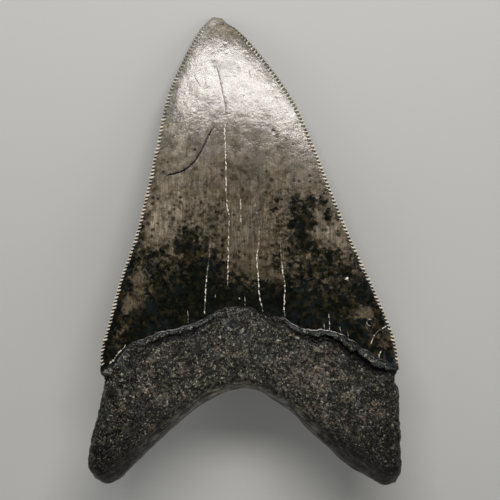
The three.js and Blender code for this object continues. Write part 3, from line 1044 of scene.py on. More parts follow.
@dataclass
class Sketch:
    """Short way to add and join the nodes of one shader tree."""

    tree: bpy.types.NodeTree

    def put(self, target: Socket, value: Value) -> None:
        """Sets an input to a number or colour, or joins it to a socket.

        Args:
            target: the input.
            value: the number, colour or socket.
        """
        if isinstance(value, bpy.types.NodeSocket):
            self.tree.links.new(value, target)
        else:
            target.default_value = value

    def add(self, kind: str, inputs: dict[str, Value] | None = None, **settings: Any) -> bpy.types.Node:
        """Adds a node.

        Args:
            kind: the node's type.
            inputs: values or sockets by input name.
            settings: the node's own properties.

        Returns:
            The node.
        """
        node = self.tree.nodes.new(kind)
        for name, value in settings.items():
            setattr(node, name, value)
        for name, value in (inputs or {}).items():
            self.put(node.inputs[name], value)
        return node

    def math(self, operation: str, first: Value, second: Value = 0.0, third: Value = 0.0) -> Socket:
        """Result of a Math node.

        Args:
            operation: what the node does.
            first: its first value.
            second: its second value.
            third: its third value.

        Returns:
            The result.
        """
        node = self.add("ShaderNodeMath", operation=operation)
        for target, value in zip(node.inputs, (first, second, third)):
            self.put(target, value)
        return node.outputs[0]

    def plus(self, first: Value, second: Value) -> Socket:
        """First plus second."""
        return self.math("ADD", first, second)

    def minus(self, first: Value, second: Value) -> Socket:
        """First less second."""
        return self.math("SUBTRACT", first, second)

    def times(self, first: Value, second: Value) -> Socket:
        """First times second."""
        return self.math("MULTIPLY", first, second)

    def larger(self, first: Value, second: Value) -> Socket:
        """The larger of first and second."""
        return self.math("MAXIMUM", first, second)

    def linear(self, value: Value, slope: Value, offset: Value) -> Socket:
        """Value times slope, plus offset."""
        return self.math("MULTIPLY_ADD", value, slope, offset)

    def vector(self, operation: str, first: Value, second: Value) -> Socket:
        """Result of a Vector Math node.

        Args:
            operation: what the node does.
            first: its first vector.
            second: its second vector.

        Returns:
            The resulting vector.
        """
        node = self.add("ShaderNodeVectorMath", operation=operation)
        self.put(node.inputs[0], first)
        self.put(node.inputs[1], second)
        return node.outputs[0]

    def joined(self, x: Value, y: Value, z: Value = 0.0) -> Socket:
        """Vector of the three values."""
        return self.add("ShaderNodeCombineXYZ", {"X": x, "Y": y, "Z": z}).outputs[0]

    def step(self, value: Value, low: Value, high: Value, start: Value = 0.0, end: Value = 1.0) -> Socket:
        """Smooth S from start to end as a value goes from low to high.

        Args:
            value: the value.
            low: where the S starts.
            high: where the S ends; it may be below low.
            start: the result at and before low.
            end: the result at and past high.

        Returns:
            The result.
        """
        node = self.add("ShaderNodeMapRange", {
            "Value": value, "From Min": low, "From Max": high, "To Min": start, "To Max": end,
        }, interpolation_type="SMOOTHSTEP")
        return node.outputs["Result"]

    def mix(self, share: Value, first: Value, second: Value, blend: str = "MIX") -> Socket:
        """Colour mix.

        Args:
            share: how much of the second colour.
            first: the first colour.
            second: the second colour.
            blend: how the second goes onto the first.

        Returns:
            The mixed colour.
        """
        node = self.add("ShaderNodeMix", data_type="RGBA", blend_type=blend)
        self.put(node.inputs["Factor"], share)
        colours = [socket for socket in node.inputs if socket.type == "RGBA"]
        self.put(colours[0], first)
        self.put(colours[1], second)
        return next(socket for socket in node.outputs if socket.type == "RGBA")

    def noise(self, place: Value, scale: Value, detail: float = 2.0, roughness: float = 0.5,
              distortion: float = 0.0, output: str = "Fac") -> Socket:
        """Noise with features of about 1 / scale millimetres.

        Args:
            place: where it is read.
            scale: its scale.
            detail: how many finer layers it has.
            roughness: how strong each finer layer is.
            distortion: how far it is bent.
            output: "Fac" for a value of about 0.3 to 0.7, "Color" for three of them.

        Returns:
            The value or the colour.
        """
        node = self.add("ShaderNodeTexNoise", {
            "Vector": place, "Scale": scale, "Detail": detail, "Roughness": roughness,
            "Distortion": distortion,
        })
        return node.outputs[output]

    def jumbled(self, place: Value, scale: float, reach: float) -> Socket:
        """Places shifted by a noise of the scale, each up to the reach, so that round shapes turn ragged."""
        shift = self.noise(place, scale, output="Color")
        return self.vector("ADD", place, self.vector("MULTIPLY", shift, (reach, reach, reach)))

    def attribute(self, name: str) -> tuple[Socket, Socket, Socket, Socket]:
        """Reads an attribute, and gives its vector and its three numbers."""
        source = self.add("ShaderNodeAttribute", attribute_name=name).outputs["Vector"]
        return source, *self.add("ShaderNodeSeparateXYZ", {"Vector": source}).outputs

    def group(self, tree: bpy.types.NodeTree, output: str, **inputs: Value) -> Socket:
        """Places a node group.

        Args:
            tree: the group.
            output: name of the output that is read.
            inputs: values or sockets by input name.

        Returns:
            The output.
        """
        return self.add("ShaderNodeGroup", inputs, node_tree=tree).outputs[output]

    @staticmethod
    def start(name: str) -> tuple["Sketch", bpy.types.Material, bpy.types.Node]:
        """Starts a material.

        Args:
            name: the material's name.

        Returns:
            A sketch of its tree, the material and its Principled node.
        """
        material = bpy.data.materials.new(name)
        material.use_nodes = True
        return Sketch(material.node_tree), material, material.node_tree.nodes["Principled BSDF"]

    def feed(self, shader: bpy.types.Node, colour: Value, rough: Value, relief: Value) -> None:
        """Joins a finish to its Principled node.

        Args:
            shader: the Principled node.
            colour: the base colour.
            rough: the roughness.
            relief: the height of the bumps, in millimetres.
        """
        bump = self.add("ShaderNodeBump", {"Strength": 1.0, "Distance": MM, "Height": relief})
        self.put(shader.inputs["Base Color"], colour)
        self.put(shader.inputs["Roughness"], rough)
        self.put(shader.inputs["Normal"], bump.outputs["Normal"])


def new_group(name: str, inputs: dict[str, str], output: str) -> tuple[Sketch, Any, Socket]:
    """Starts a shader node group with one output, a value.

    Args:
        name: the group's name.
        inputs: kind of each input, by name.
        output: name of the output.

    Returns:
        A sketch of the group's tree, its inputs to read and its output to feed.
    """
    tree = bpy.data.node_groups.new(name, "ShaderNodeTree")
    for title, kind in inputs.items():
        tree.interface.new_socket(title, in_out="INPUT", socket_type=f"NodeSocket{kind}")
    tree.interface.new_socket(output, in_out="OUTPUT", socket_type="NodeSocketFloat")
    sketch = Sketch(tree)
    return sketch, sketch.add("NodeGroupInput").outputs, sketch.add("NodeGroupOutput").inputs[output]


@dataclass(frozen=True)
class Effects:
    """Node groups that are placed more than once, each time with its own values."""

    crack_line: bpy.types.NodeTree
    specks: bpy.types.NodeTree
    streaks: bpy.types.NodeTree

    @classmethod
    def make(cls) -> "Effects":
        """Builds the groups."""
        return cls(cls.make_crack_line(), cls.make_specks(), cls.make_streaks())

    @staticmethod
    def make_crack_line() -> bpy.types.NodeTree:
        """Thin tapered line where a crack's signed distance is near 0, broken up into beads.

        Returns:
            The group, which puts out the line's mask.
        """
        sketch, given, out = new_group("crack line", {
            "Field": "Vector", "Wander": "Float", "Beads": "Float",
        }, "Mask")
        signed, width, strength = sketch.add("ShaderNodeSeparateXYZ", {"Vector": given["Field"]}).outputs
        offset = sketch.math("ABSOLUTE", sketch.plus(signed, given["Wander"]))
        swell = sketch.step(given["Beads"], 0.46, 0.56)
        half = sketch.times(width, sketch.linear(swell, 0.55, 0.45))
        line = sketch.step(sketch.minus(offset, half), 0.03, -0.04)
        shown = sketch.times(strength, sketch.linear(swell, 0.75, 0.25))
        shown = sketch.times(shown, sketch.step(half, 0.0, 0.03))
        sketch.put(out, sketch.times(line, shown))
        return sketch.tree

    @staticmethod
    def make_specks() -> bpy.types.NodeTree:
        """Round specks of uneven size, one in a share of the cells of a random pattern.

        Returns:
            The group, which puts out the specks' mask.
        """
        sketch, given, out = new_group("specks", {
            "Place": "Vector", "Scale": "Float", "Size": "Float", "Share": "Float",
        }, "Mask")
        cells = sketch.add("ShaderNodeTexVoronoi", {"Vector": given["Place"], "Scale": given["Scale"]})
        chance = sketch.add("ShaderNodeSeparateColor", {"Color": cells.outputs["Color"]}).outputs
        radius = sketch.times(given["Size"], sketch.plus(chance[1], 0.35))
        speck = sketch.step(cells.outputs["Distance"], radius, sketch.times(radius, 0.45))
        there = sketch.math("LESS_THAN", chance[0], given["Share"])
        sketch.put(out, sketch.times(speck, there))
        return sketch.tree

    @staticmethod
    def make_streaks() -> bpy.types.NodeTree:
        """Long thin streaks up the tooth.

        Returns:
            The group, which puts out a noise value.
        """
        sketch, given, out = new_group("streaks", {
            "Place": "Vector", "Fineness": "Float", "Stretch": "Float",
        }, "Value")
        place = sketch.vector("MULTIPLY", given["Place"], sketch.joined(1.0, given["Stretch"], 1.0))
        sketch.put(out, sketch.noise(place, given["Fineness"], 3.0, 0.6, 0.15))
        return sketch.tree


# ---------------------------------------------------------------------------------------------------------
# Finishes
# ---------------------------------------------------------------------------------------------------------


@dataclass
class EnamelReadings:
    """What the enamel is worked out from: the mesh's masks, and the noises that several parts of it read."""

    sketch: Sketch
    effects: Effects

    def __post_init__(self) -> None:
        """Reads the masks and lays out the noises."""
        sketch = self.sketch
        self.plan, self.x, self.y, _ = sketch.attribute("plan")
        _, self.stain, self.neck, self.tone = sketch.attribute("stain")
        _, self.rib, self.band, self.gap = sketch.attribute("bead")
        _, self.rise, _, self.side = sketch.attribute("zone")
        self.cloud = sketch.noise(self.plan, 0.5, 4.0, 0.6)
        self.mottle = sketch.noise(self.plan, 1.3, 4.0, 0.7)
        self.warped = sketch.jumbled(self.plan, 0.8, 2.4)
        self.streak = self.streaks(1.5, 0.1)
        self.hair = self.streaks(3.6, 0.09)

    def streaks(self, fineness: float, stretch: float) -> Socket:
        """Value of streaks up the crown."""
        group = self.effects.streaks
        return self.sketch.group(group, "Value", Place=self.plan, Fineness=fineness, Stretch=stretch)


@dataclass(frozen=True)
class Enamel:
    """Finish of the crown: glossy grey-tan enamel, streaked and specked, going black-green at the root."""

    name: str = "fossil enamel"
    pale: Colour = (0.265, 0.233, 0.18, 1)
    tan: Colour = (0.168, 0.145, 0.11, 1)
    grey: Colour = (0.11, 0.105, 0.092, 1)
    umber: Colour = (0.056, 0.047, 0.032, 1)
    amber: Colour = (0.062, 0.044, 0.018, 1)
    olive: Colour = (0.036, 0.03, 0.012, 1)
    black: Colour = (0.001, 0.0013, 0.0008, 1)
    green: Colour = (0.0035, 0.0055, 0.0028, 1)
    blue: Colour = (0.005, 0.009, 0.0105, 1)
    neck: Colour = (0.02, 0.017, 0.012, 1)
    margin: Colour = (0.02, 0.02, 0.017, 1)
    cream_and_painted_highlight: Colour = (0.62, 0.56, 0.43, 1)
    mineral: Colour = (0.75, 0.71, 0.6, 1)
    streak_tints: tuple[Colour, Colour] = ((0.56, 0.54, 0.52, 1), (1.4, 1.34, 1.25, 1))
    hair_tints: tuple[Colour, Colour] = ((0.56, 0.55, 0.53, 1), (1.38, 1.35, 1.3, 1))
    fleck_tints: tuple[Colour, Colour] = ((0.72, 0.72, 0.72, 1), (1.25, 1.25, 1.25, 1))
    fleck_share: float = 0.8
    brown_share: float = 0.86
    dark_share: float = 0.99
    gloss: float = 0.24
    foot_gloss: float = 0.34
    mineral_gloss: float = 0.55
    refraction: float = 1.7
    crackle_height: float = 0.03
    wave_height: float = 0.09
    hair_height: float = 0.01
    dot_depth: float = 0.01
    crack_depth: float = 0.1
    mineral_height: float = 0.03

    def build(self, effects: Effects) -> bpy.types.Material:
        """Makes the material.

        Args:
            effects: the shared node groups.

        Returns:
            The material.
        """
        sketch, material, shader = Sketch.start(self.name)
        read = EnamelReadings(sketch, effects)
        fine = sketch.noise(read.plan, 3.0, 3.0, 0.7)
        flecks = sketch.mix(sketch.step(fine, 0.34, 0.66), *self.fleck_tints)
        colour, dark = self.stained(read, self.clean(read, flecks), flecks)
        dots = self.dots(read)
        colour = sketch.mix(sketch.times(dots, 0.8), colour, self.black)
        colour = sketch.mix(sketch.times(read.neck, 0.92), colour, self.neck)
        pale_cracks, dark_cracks = self.cracks(read)
        colour = sketch.mix(pale_cracks, colour, self.mineral)
        colour = sketch.mix(dark_cracks, colour, self.black)
        colour, beads = self.edged(read, colour)
        # Painted shade: the enamel's foot just above the ledge is painted black, partly the crown's
        # near-black colour there and partly shade painted over the bright line that the ledge's edge
        # reflects.
        dark_and_shaded_foot = sketch.step(read.rise, 1.007, 1.002)
        colour = sketch.mix(dark_and_shaded_foot, colour, self.black)
        rough = self.roughness(read, dark, sketch.larger(beads, pale_cracks))
        rough = sketch.larger(rough, sketch.times(dark_and_shaded_foot, self.foot_gloss))
        sketch.feed(shader, colour, rough, self.relief(read, dots, pale_cracks, dark_cracks))
        shader.inputs["IOR"].default_value = self.refraction
        return material

    def clean(self, read: EnamelReadings, flecks: Socket) -> Socket:
        """Colour of the enamel before any stain: cloudy grey-tan, streaked up the tooth and finely flecked.

        Args:
            read: the masks and noises.
            flecks: the flecks' tint.

        Returns:
            The colour.
        """
        sketch = read.sketch
        light = sketch.plus(read.tone, sketch.linear(read.cloud, 1.3, -0.65))
        light = sketch.plus(light, sketch.linear(read.mottle, 0.7, -0.35))
        ground = sketch.mix(sketch.step(light, 0.0, 0.55), self.umber, self.tan)
        ground = sketch.mix(sketch.step(light, 0.5, 1.1), ground, self.pale)
        ashen = sketch.step(sketch.noise(read.plan, 0.22), 0.45, 0.62, 0.0, 0.55)
        ground = sketch.mix(ashen, ground, self.grey)
        rusty = sketch.times(sketch.step(read.y, 60.0, 48.0), sketch.step(read.streak, 0.42, 0.62, 0.15, 0.8))
        ground = sketch.mix(rusty, ground, self.amber)
        upright = sketch.step(read.y, 84.0, 56.0, 0.15, 0.85)
        streaks = sketch.mix(sketch.step(read.streak, 0.35, 0.65), *self.streak_tints)
        ground = sketch.mix(upright, ground, streaks, "MULTIPLY")
        hairs = sketch.mix(sketch.step(read.hair, 0.34, 0.64), *self.hair_tints)
        ground = sketch.mix(upright, ground, hairs, "MULTIPLY")
        return sketch.mix(self.fleck_share, ground, flecks, "MULTIPLY")

    def stained(self, read: EnamelReadings, ground: Socket, flecks: Socket) -> tuple[Socket, Socket]:
        """Colour with the dark mineral that the enamel has taken up, in ragged spots that run together.

        Args:
            read: the masks and noises.
            ground: colour of the clean enamel.
            flecks: the flecks' tint.

        Returns:
            The colour, and the mask of the black mineral.
        """
        sketch, stain = read.sketch, read.stain
        level = self.stain_level(read)
        brown, dark = sketch.step(level, 0.06, 0.52), sketch.step(level, 0.25, 0.66)
        deep = sketch.mix(sketch.step(read.mottle, 0.4, 0.6), self.black, self.green)
        bluish = sketch.step(sketch.noise(read.warped, 0.33, 3.0), 0.5, 0.64, 0.0, 0.6)
        deep = sketch.mix(bluish, deep, self.blue)
        olive = sketch.mix(sketch.step(read.cloud, 0.42, 0.58), self.olive, self.amber)
        olive = sketch.mix(self.fleck_share, olive, flecks, "MULTIPLY")
        colour = sketch.mix(sketch.times(brown, self.brown_share), ground, olive)
        colour = sketch.mix(sketch.times(dark, self.dark_share), colour, deep)

        left = sketch.step(sketch.noise(read.plan, 0.62, 2.0, 0.55), 0.48, 0.66)
        left = sketch.times(left, sketch.step(stain, 1.15, 0.5, 0.2, 0.5))
        warm = sketch.mix(sketch.step(stain, 0.7, 0.4), self.amber, self.umber)
        warm = sketch.mix(sketch.step(read.hair, 0.4, 0.6), self.olive, warm)
        colour = sketch.mix(left, colour, warm)
        light = sketch.step(sketch.noise(read.warped, 0.75, 2.0, 0.6), 0.52, 0.72)
        light = sketch.times(light, sketch.step(stain, 0.95, 0.3, 0.0, 0.5))
        colour = sketch.mix(sketch.times(light, sketch.step(read.y, 80.0, 62.0)), colour, self.tan)
        return sketch.mix(sketch.step(stain, 1.05, 1.4), colour, self.black), dark

    @staticmethod
    def stain_level(read: EnamelReadings) -> Socket:
        """How dark the stain is: the mesh's soft stain with noises of three sizes added where it is strong.

        Args:
            read: the masks and noises.

        Returns:
            The level, of which about 0.06 is the first brown and 0.66 is black.
        """
        sketch = read.sketch
        blotch = sketch.noise(read.warped, 0.42)
        spot = sketch.noise(read.plan, 0.95, 1.0)
        patchy = sketch.noise(read.warped, 0.7)
        broken = sketch.plus(sketch.times(blotch, 1.2), sketch.times(spot, 1.2))
        broken = sketch.minus(sketch.minus(broken, sketch.times(patchy, 1.2)), 0.6)
        broken = sketch.times(broken, sketch.step(read.stain, 0.1, 0.45, 0.42, 1.0))
        return sketch.plus(sketch.plus(read.stain, broken), 0.11)

    @staticmethod
    def dots(read: EnamelReadings) -> Socket:
        """Mask of small dark dots, in two sizes, more of them low down and to the sides.

        Args:
            read: the masks and noises.

        Returns:
            The mask.
        """
        sketch, specks = read.sketch, read.effects.specks
        share = sketch.step(read.y, 82.0, 52.0, 0.05, 0.7)
        aside = sketch.math("ABSOLUTE", sketch.plus(read.x, 2.0))
        share = sketch.times(share, sketch.step(aside, 4.0, 10.0, 0.35, 1.0))
        large = sketch.group(specks, "Mask", Place=read.plan, Scale=0.8, Size=0.42, Share=share)
        small = sketch.group(specks, "Mask", Place=read.plan, Scale=1.9, Size=0.4, Share=share)
        return sketch.larger(large, sketch.times(small, 0.8))

    @staticmethod
    def cracks(read: EnamelReadings) -> tuple[Socket, Socket]:
        """Masks of the pale cracks, which beads of mineral fill, and of the open dark ones.

        Args:
            read: the masks and noises.

        Returns:
            The two masks.
        """
        sketch = read.sketch
        wander = sketch.linear(sketch.noise(read.plan, 1.1), 0.5, -0.25)
        beads = sketch.noise(read.plan, 1.4, 1.0)
        lip = sketch.step(read.side, -0.2, 0.2)
        masks = {}
        for layer in CrackLayer:
            line, beading = sketch.attribute(layer.value)[0], 1.0 if layer is CrackLayer.DARK else beads
            mask = sketch.group(read.effects.crack_line, "Mask", Field=line, Wander=wander, Beads=beading)
            masks[layer] = sketch.times(mask, lip)
        return sketch.larger(masks[CrackLayer.PALE], masks[CrackLayer.PALE_BETWEEN]), masks[CrackLayer.DARK]

    def edged(self, read: EnamelReadings, colour: Socket) -> tuple[Socket, Socket]:
        """Colour with the cutting edge on it: a dark margin, black painted shade between the serrations, and
        cream on them that is partly painted highlight.

        Args:
            read: the masks and noises.
            colour: the colour so far.

        Returns:
            The colour, and the mask of the cream serrations, which carry a painted highlight.
        """
        sketch, y, gap, band = read.sketch, read.y, read.gap, read.band
        margin = sketch.times(sketch.step(gap, 1.6, 0.7), sketch.step(y, 84.0, 64.0, 0.15, 0.9))
        colour = sketch.mix(sketch.times(margin, band), colour, self.margin)
        # Painted shade: black between the serrations.
        between = sketch.times(sketch.step(read.rib, 0.3, 0.05), sketch.step(gap, 0.9, 0.3))
        colour = sketch.mix(sketch.times(between, band), colour, self.black)
        # Painted highlight: the serrations' crests are cream, partly their pale colour and partly the light
        # that each one catches.
        low, high = sketch.step(y, 76.0, 100.0, 0.22, 0.45), sketch.step(y, 76.0, 100.0, 0.6, 0.9)
        beads = sketch.step(read.rib, low, high)
        share = sketch.times(beads, sketch.step(y, 80.0, 100.0, 1.0, 0.7))
        return sketch.mix(share, colour, self.cream_and_painted_highlight), beads

    def roughness(self, read: EnamelReadings, dark: Socket, mineral: Socket) -> Socket:
        """How rough the enamel is: cloudy, duller on mineral and on patches near the tip, smooth on black.

        Args:
            read: the masks and noises.
            dark: mask of the black stain.
            mineral: mask of the cream serrations, which carry a painted highlight, and the filled cracks.

        Returns:
            The roughness.
        """
        sketch = read.sketch
        rough = sketch.linear(read.cloud, 0.3, self.gloss - 0.17)
        dull = sketch.times(sketch.step(read.tone, 0.5, 0.25), sketch.step(read.y, 86.0, 92.0, 0.0, 0.07))
        rough = sketch.minus(sketch.plus(rough, dull), sketch.times(dark, 0.08))
        rough = sketch.plus(rough, sketch.times(read.neck, 0.25))
        return sketch.larger(rough, sketch.times(mineral, self.mineral_gloss))

    def relief(self, read: EnamelReadings, dots: Socket, pale_cracks: Socket, dark_cracks: Socket) -> Socket:
        """Height of the enamel's finest bumps, in millimetres.

        Args:
            read: the masks and noises.
            dots: mask of the dark dots, which are sunk.
            pale_cracks: mask of the filled cracks, which stand out.
            dark_cracks: mask of the open cracks, which are sunk.

        Returns:
            The height.
        """
        sketch = read.sketch
        crackle = sketch.noise(read.plan, 1.6, 3.0, 0.6, 0.8)
        upper = sketch.step(read.y, 50.0, 88.0, 0.2, 1.0)
        waves = sketch.times(read.cloud, self.wave_height)
        relief = sketch.plus(sketch.times(crackle, self.crackle_height), waves)
        relief = sketch.plus(sketch.times(relief, upper), sketch.times(read.hair, self.hair_height))
        relief = sketch.minus(relief, sketch.times(dots, self.dot_depth))
        relief = sketch.minus(relief, sketch.times(dark_cracks, self.crack_depth))
        return sketch.plus(relief, sketch.times(pale_cracks, self.mineral_height))


@dataclass
class RootReadings:
    """What the root is worked out from: the mesh's masks, and the noises that several parts of it read."""

    sketch: Sketch
    effects: Effects

    def __post_init__(self) -> None:
        """Reads the masks and lays out the noises."""
        sketch = self.sketch
        self.plan, self.x, self.y, _ = sketch.attribute("plan")
        _, self.strip, self.groove, self.pits = sketch.attribute("ledge")
        _, _, _, self.tone = sketch.attribute("stain")
        _, self.rise, _, _ = sketch.attribute("zone")
        self.coarse = sketch.noise(self.plan, 0.3, 3.0, 0.55)
        self.grain = sketch.noise(self.plan, 0.8, 4.0, 0.8)
        self.grit = sketch.noise(self.plan, 1.2, 4.0, 0.85)
        self.salt = sketch.noise(self.plan, 2.3, 3.0, 0.75)
        self.jumbled = sketch.jumbled(self.plan, 1.5, 1.8)
        self.furrow = sketch.noise(self.down_the_lobes(), 1.1, 3.0, 0.7)

    def down_the_lobes(self) -> Socket:
        """Places stretched along each lobe, so that a noise makes furrows down it; the lobes differ.

        Returns:
            The places.
        """
        sketch, fold = self.sketch, self.sketch.math("ABSOLUTE", self.x)
        return sketch.joined(
            sketch.linear(fold, 0.8, sketch.times(self.y, 0.6)),
            sketch.linear(fold, 0.15, sketch.times(self.y, -0.2)),
            sketch.times(sketch.math("SIGN", self.x), 40.0),
        )


@dataclass(frozen=True)
class RootStone:
    """Finish of the root: charcoal stone with pinkish-brown grains and pale ones, partly painted glints,
    among the dark ones, and black painted shade in its pits.
    """

    name: str = "fossil root"
    coal: Colour = (0.002, 0.0024, 0.0018, 1)
    ash: Colour = (0.024, 0.0235, 0.018, 1)
    black_and_painted_shade: Colour = (0.001, 0.001, 0.001, 1)
    clay: Colour = (0.15, 0.118, 0.088, 1)
    sand_and_glint: Colour = (0.48, 0.445, 0.34, 1)
    slate: Colour = (0.02, 0.026, 0.03, 1)
    rim: Colour = (0.17, 0.167, 0.145, 1)
    grit_tints: tuple[Colour, Colour] = ((0.1, 0.1, 0.1, 1), (3.4, 3.35, 3.1, 1))
    patch_tints: tuple[Colour, Colour] = ((0.45, 0.46, 0.46, 1), (1.35, 1.34, 1.3, 1))
    clay_share: float = 0.8
    sand_and_glint_share: float = 0.6
    pit_share: float = 0.85
    lobe_share: float = 0.88
    smoothest: float = 0.16
    roughest: float = 0.42
    refraction: float = 1.3
    grain_height: float = 0.3
    grit_height: float = 0.17
    furrow_depth: float = 0.2
    sand_height: float = 0.05
    hollow_depth: float = 0.1

    def build(self, effects: Effects) -> bpy.types.Material:
        """Makes the material.

        Args:
            effects: the shared node groups.

        Returns:
            The material.
        """
        sketch, material, shader = Sketch.start(self.name)
        read = RootReadings(sketch, effects)
        hollows = sketch.group(effects.specks, "Mask", Place=read.jumbled, Scale=0.9, Size=0.6, Share=0.6)
        hollows = sketch.times(hollows, sketch.step(read.rise, 0.08, 0.16))
        grains = self.sand_and_glint_grains(read)
        colour = self.darkened(read, self.stone(read), hollows)
        # Painted glints: the pale grains are partly the stone's own pale grains and partly painted sparkle.
        colour = sketch.mix(sketch.times(grains, self.sand_and_glint_share), colour, self.sand_and_glint)
        colour = self.ledged(read, colour)
        rough = sketch.step(read.grit, 0.35, 0.65, self.roughest, self.smoothest)
        sketch.feed(shader, colour, rough, self.relief(read, grains, hollows))
        shader.inputs["IOR"].default_value = self.refraction
        return material

    def stone(self, read: RootReadings) -> Socket:
        """Colour of the stone: coal and ash, cooler in patches, lined round the arch, warm with clay.

        Args:
            read: the masks and noises.

        Returns:
            The colour.
        """
        sketch, rise, grit = read.sketch, read.rise, read.grit
        colour = sketch.mix(sketch.step(read.grain, 0.4, 0.6), self.coal, self.ash)
        cool = sketch.step(sketch.noise(read.plan, 0.18), 0.5, 0.62, 0.0, 0.55)
        colour = sketch.mix(cool, colour, self.slate)
        on_ledge = sketch.times(sketch.step(read.strip, 0.2, 0.9), sketch.step(grit, 0.38, 0.6))
        colour = sketch.mix(on_ledge, colour, self.slate)
        round_arch = sketch.joined(sketch.times(read.x, 0.2), sketch.times(rise, 55.0))
        lines = sketch.step(sketch.noise(round_arch, 1.0, 3.0, 0.6), 0.4, 0.58)
        rim = sketch.mix(lines, self.coal, self.rim)
        colour = sketch.mix(sketch.step(rise, 0.15, 0.08, 0.0, 0.85), colour, rim)
        gritty = sketch.mix(sketch.step(grit, 0.42, 0.6), *self.grit_tints)
        colour = sketch.mix(sketch.step(rise, 0.1, 0.16, 0.35, 1.0), colour, gritty, "MULTIPLY")
        patches = sketch.mix(sketch.step(read.coarse, 0.36, 0.6), *self.patch_tints)
        colour = sketch.mix(1.0, colour, patches, "MULTIPLY")
        warmth = sketch.plus(read.coarse, sketch.linear(read.tone, 0.35, -0.07))
        warm = sketch.times(sketch.step(warmth, 0.54, 0.68), sketch.step(grit, 0.44, 0.56))
        warm = sketch.times(warm, sketch.step(rise, 0.94, 0.86))
        return sketch.mix(sketch.times(warm, self.clay_share), colour, self.clay)

    def darkened(self, read: RootReadings, colour: Socket, hollows: Socket) -> Socket:
        """Colour darkened towards black: painted shade in the furrows, hollows and pits, and darker towards
        the ends of the lobes.

        Args:
            read: the masks and noises.
            colour: the stone's colour.
            hollows: mask of the hollows.

        Returns:
            The colour.
        """
        sketch, y = read.sketch, read.y
        lined = sketch.times(sketch.step(read.furrow, 0.52, 0.4), sketch.step(y, 24.0, 10.0, 0.3, 0.9))
        lobe = sketch.step(y, 22.0, 5.0, 0.0, self.lobe_share)
        # Painted shade in the sunk furrows, hollows and pits; the lobes also go darker towards their ends.
        for share in (lined, hollows, sketch.times(read.pits, self.pit_share), lobe):
            colour = sketch.mix(share, colour, self.black_and_painted_shade)
        return colour

    @staticmethod
    def sand_and_glint_grains(read: RootReadings) -> Socket:
        """Mask of the pale grains, partly painted glints: fine ones from a noise and larger ragged ones,
        fewer on the lobes and rim.

        Args:
            read: the masks and noises.

        Returns:
            The mask.
        """
        sketch = read.sketch
        specks = read.effects.specks
        large = sketch.group(specks, "Mask", Place=read.jumbled, Scale=1.5, Size=0.42, Share=0.28)
        grains = sketch.larger(sketch.step(read.salt, 0.58, 0.66), sketch.times(large, 1.1))
        grains = sketch.times(grains, sketch.step(read.y, 22.0, 3.0, 1.0, 0.5))
        grains = sketch.times(grains, sketch.step(read.rise, 0.1, 0.2, 0.2, 1.0))
        return sketch.times(grains, sketch.step(read.coarse, 0.36, 0.6, 0.6, 1.15))

    def ledged(self, read: RootReadings, colour: Socket) -> Socket:
        """Colour with painted shade on the underside, in the groove and on the ledge's riser, and crumbs of
        sand on the ledge.

        Args:
            read: the masks and noises.
            colour: the colour so far.

        Returns:
            The colour.
        """
        sketch, rise = read.sketch, read.rise
        # Painted shade: the underside, the groove below the ledge and the ledge's riser are darkened towards
        # black.
        underside = sketch.step(rise, 0.03, 0.01, 0.0, 0.8)
        groove = sketch.step(read.groove, 0.1, 0.5, 0.0, 0.95)
        riser = sketch.step(rise, 0.988, 0.993, 0.0, 0.9)
        for share in (underside, groove, riser):
            colour = sketch.mix(share, colour, self.black_and_painted_shade)
        crumbs = sketch.times(sketch.step(read.salt, 0.56, 0.64), sketch.step(read.strip, 0.3, 0.8))
        crumbs = sketch.times(crumbs, sketch.step(read.x, -4.0, 8.0, 0.6, 0.22))
        return sketch.mix(crumbs, colour, self.sand_and_glint)

    def relief(self, read: RootReadings, grains: Socket, hollows: Socket) -> Socket:
        """Height of the stone's finest bumps, in millimetres.

        Args:
            read: the masks and noises.
            grains: mask of the pale grains, which stand out.
            hollows: mask of the hollows.

        Returns:
            The height.
        """
        sketch = read.sketch
        grit = sketch.times(read.grit, self.grit_height)
        relief = sketch.plus(sketch.times(read.grain, self.grain_height), grit)
        relief = sketch.plus(relief, sketch.times(read.furrow, self.furrow_depth))
        relief = sketch.plus(relief, sketch.times(grains, self.sand_height))
        return sketch.minus(relief, sketch.times(hollows, self.hollow_depth))


@dataclass(frozen=True)
class FloorPaper:
    """Finish of the floor: pale matt paper with a faint unevenness of tone."""

    name: str = "floor paper"
    tones: tuple[Colour, Colour] = ((0.5, 0.51, 0.5, 1), (0.54, 0.55, 0.54, 1))
    roughness: float = 0.9

    def build(self) -> bpy.types.Material:
        """Makes the material.

        Returns:
            The material.
        """
        sketch, material, shader = Sketch.start(self.name)
        place = sketch.add("ShaderNodeTexCoord").outputs["Object"]
        sketch.put(shader.inputs["Base Color"], sketch.mix(sketch.noise(place, 6.0, 3.0), *self.tones))
        shader.inputs["Roughness"].default_value = self.roughness
        return material


# ---------------------------------------------------------------------------------------------------------
# Studio
# ---------------------------------------------------------------------------------------------------------


@dataclass(frozen=True)
class Softbox:
    """Rectangular light that faces the crown. Its direction is the way to it, in the tooth's own frame."""

    name: str
    direction: Triple
    distance: float
    size: tuple[float, float]
    watts: float
    tint: Triple

    def build(self, target: Vector, away: Vector) -> None:
        """Makes the light.

        Args:
            target: the point that it faces.
            away: the way from the target to the light.
        """
        data = bpy.data.lights.new(self.name, "AREA")
        data.shape = "RECTANGLE"
        data.size, data.size_y = self.size
        data.energy = self.watts
        data.color = self.tint
        light = bpy.data.objects.new(self.name, data)
        turned = away.to_track_quat("Z", "Y").to_matrix().to_4x4()
        light.matrix_world = Matrix.Translation(target + away * self.distance) @ turned
        bpy.context.scene.collection.objects.link(light)


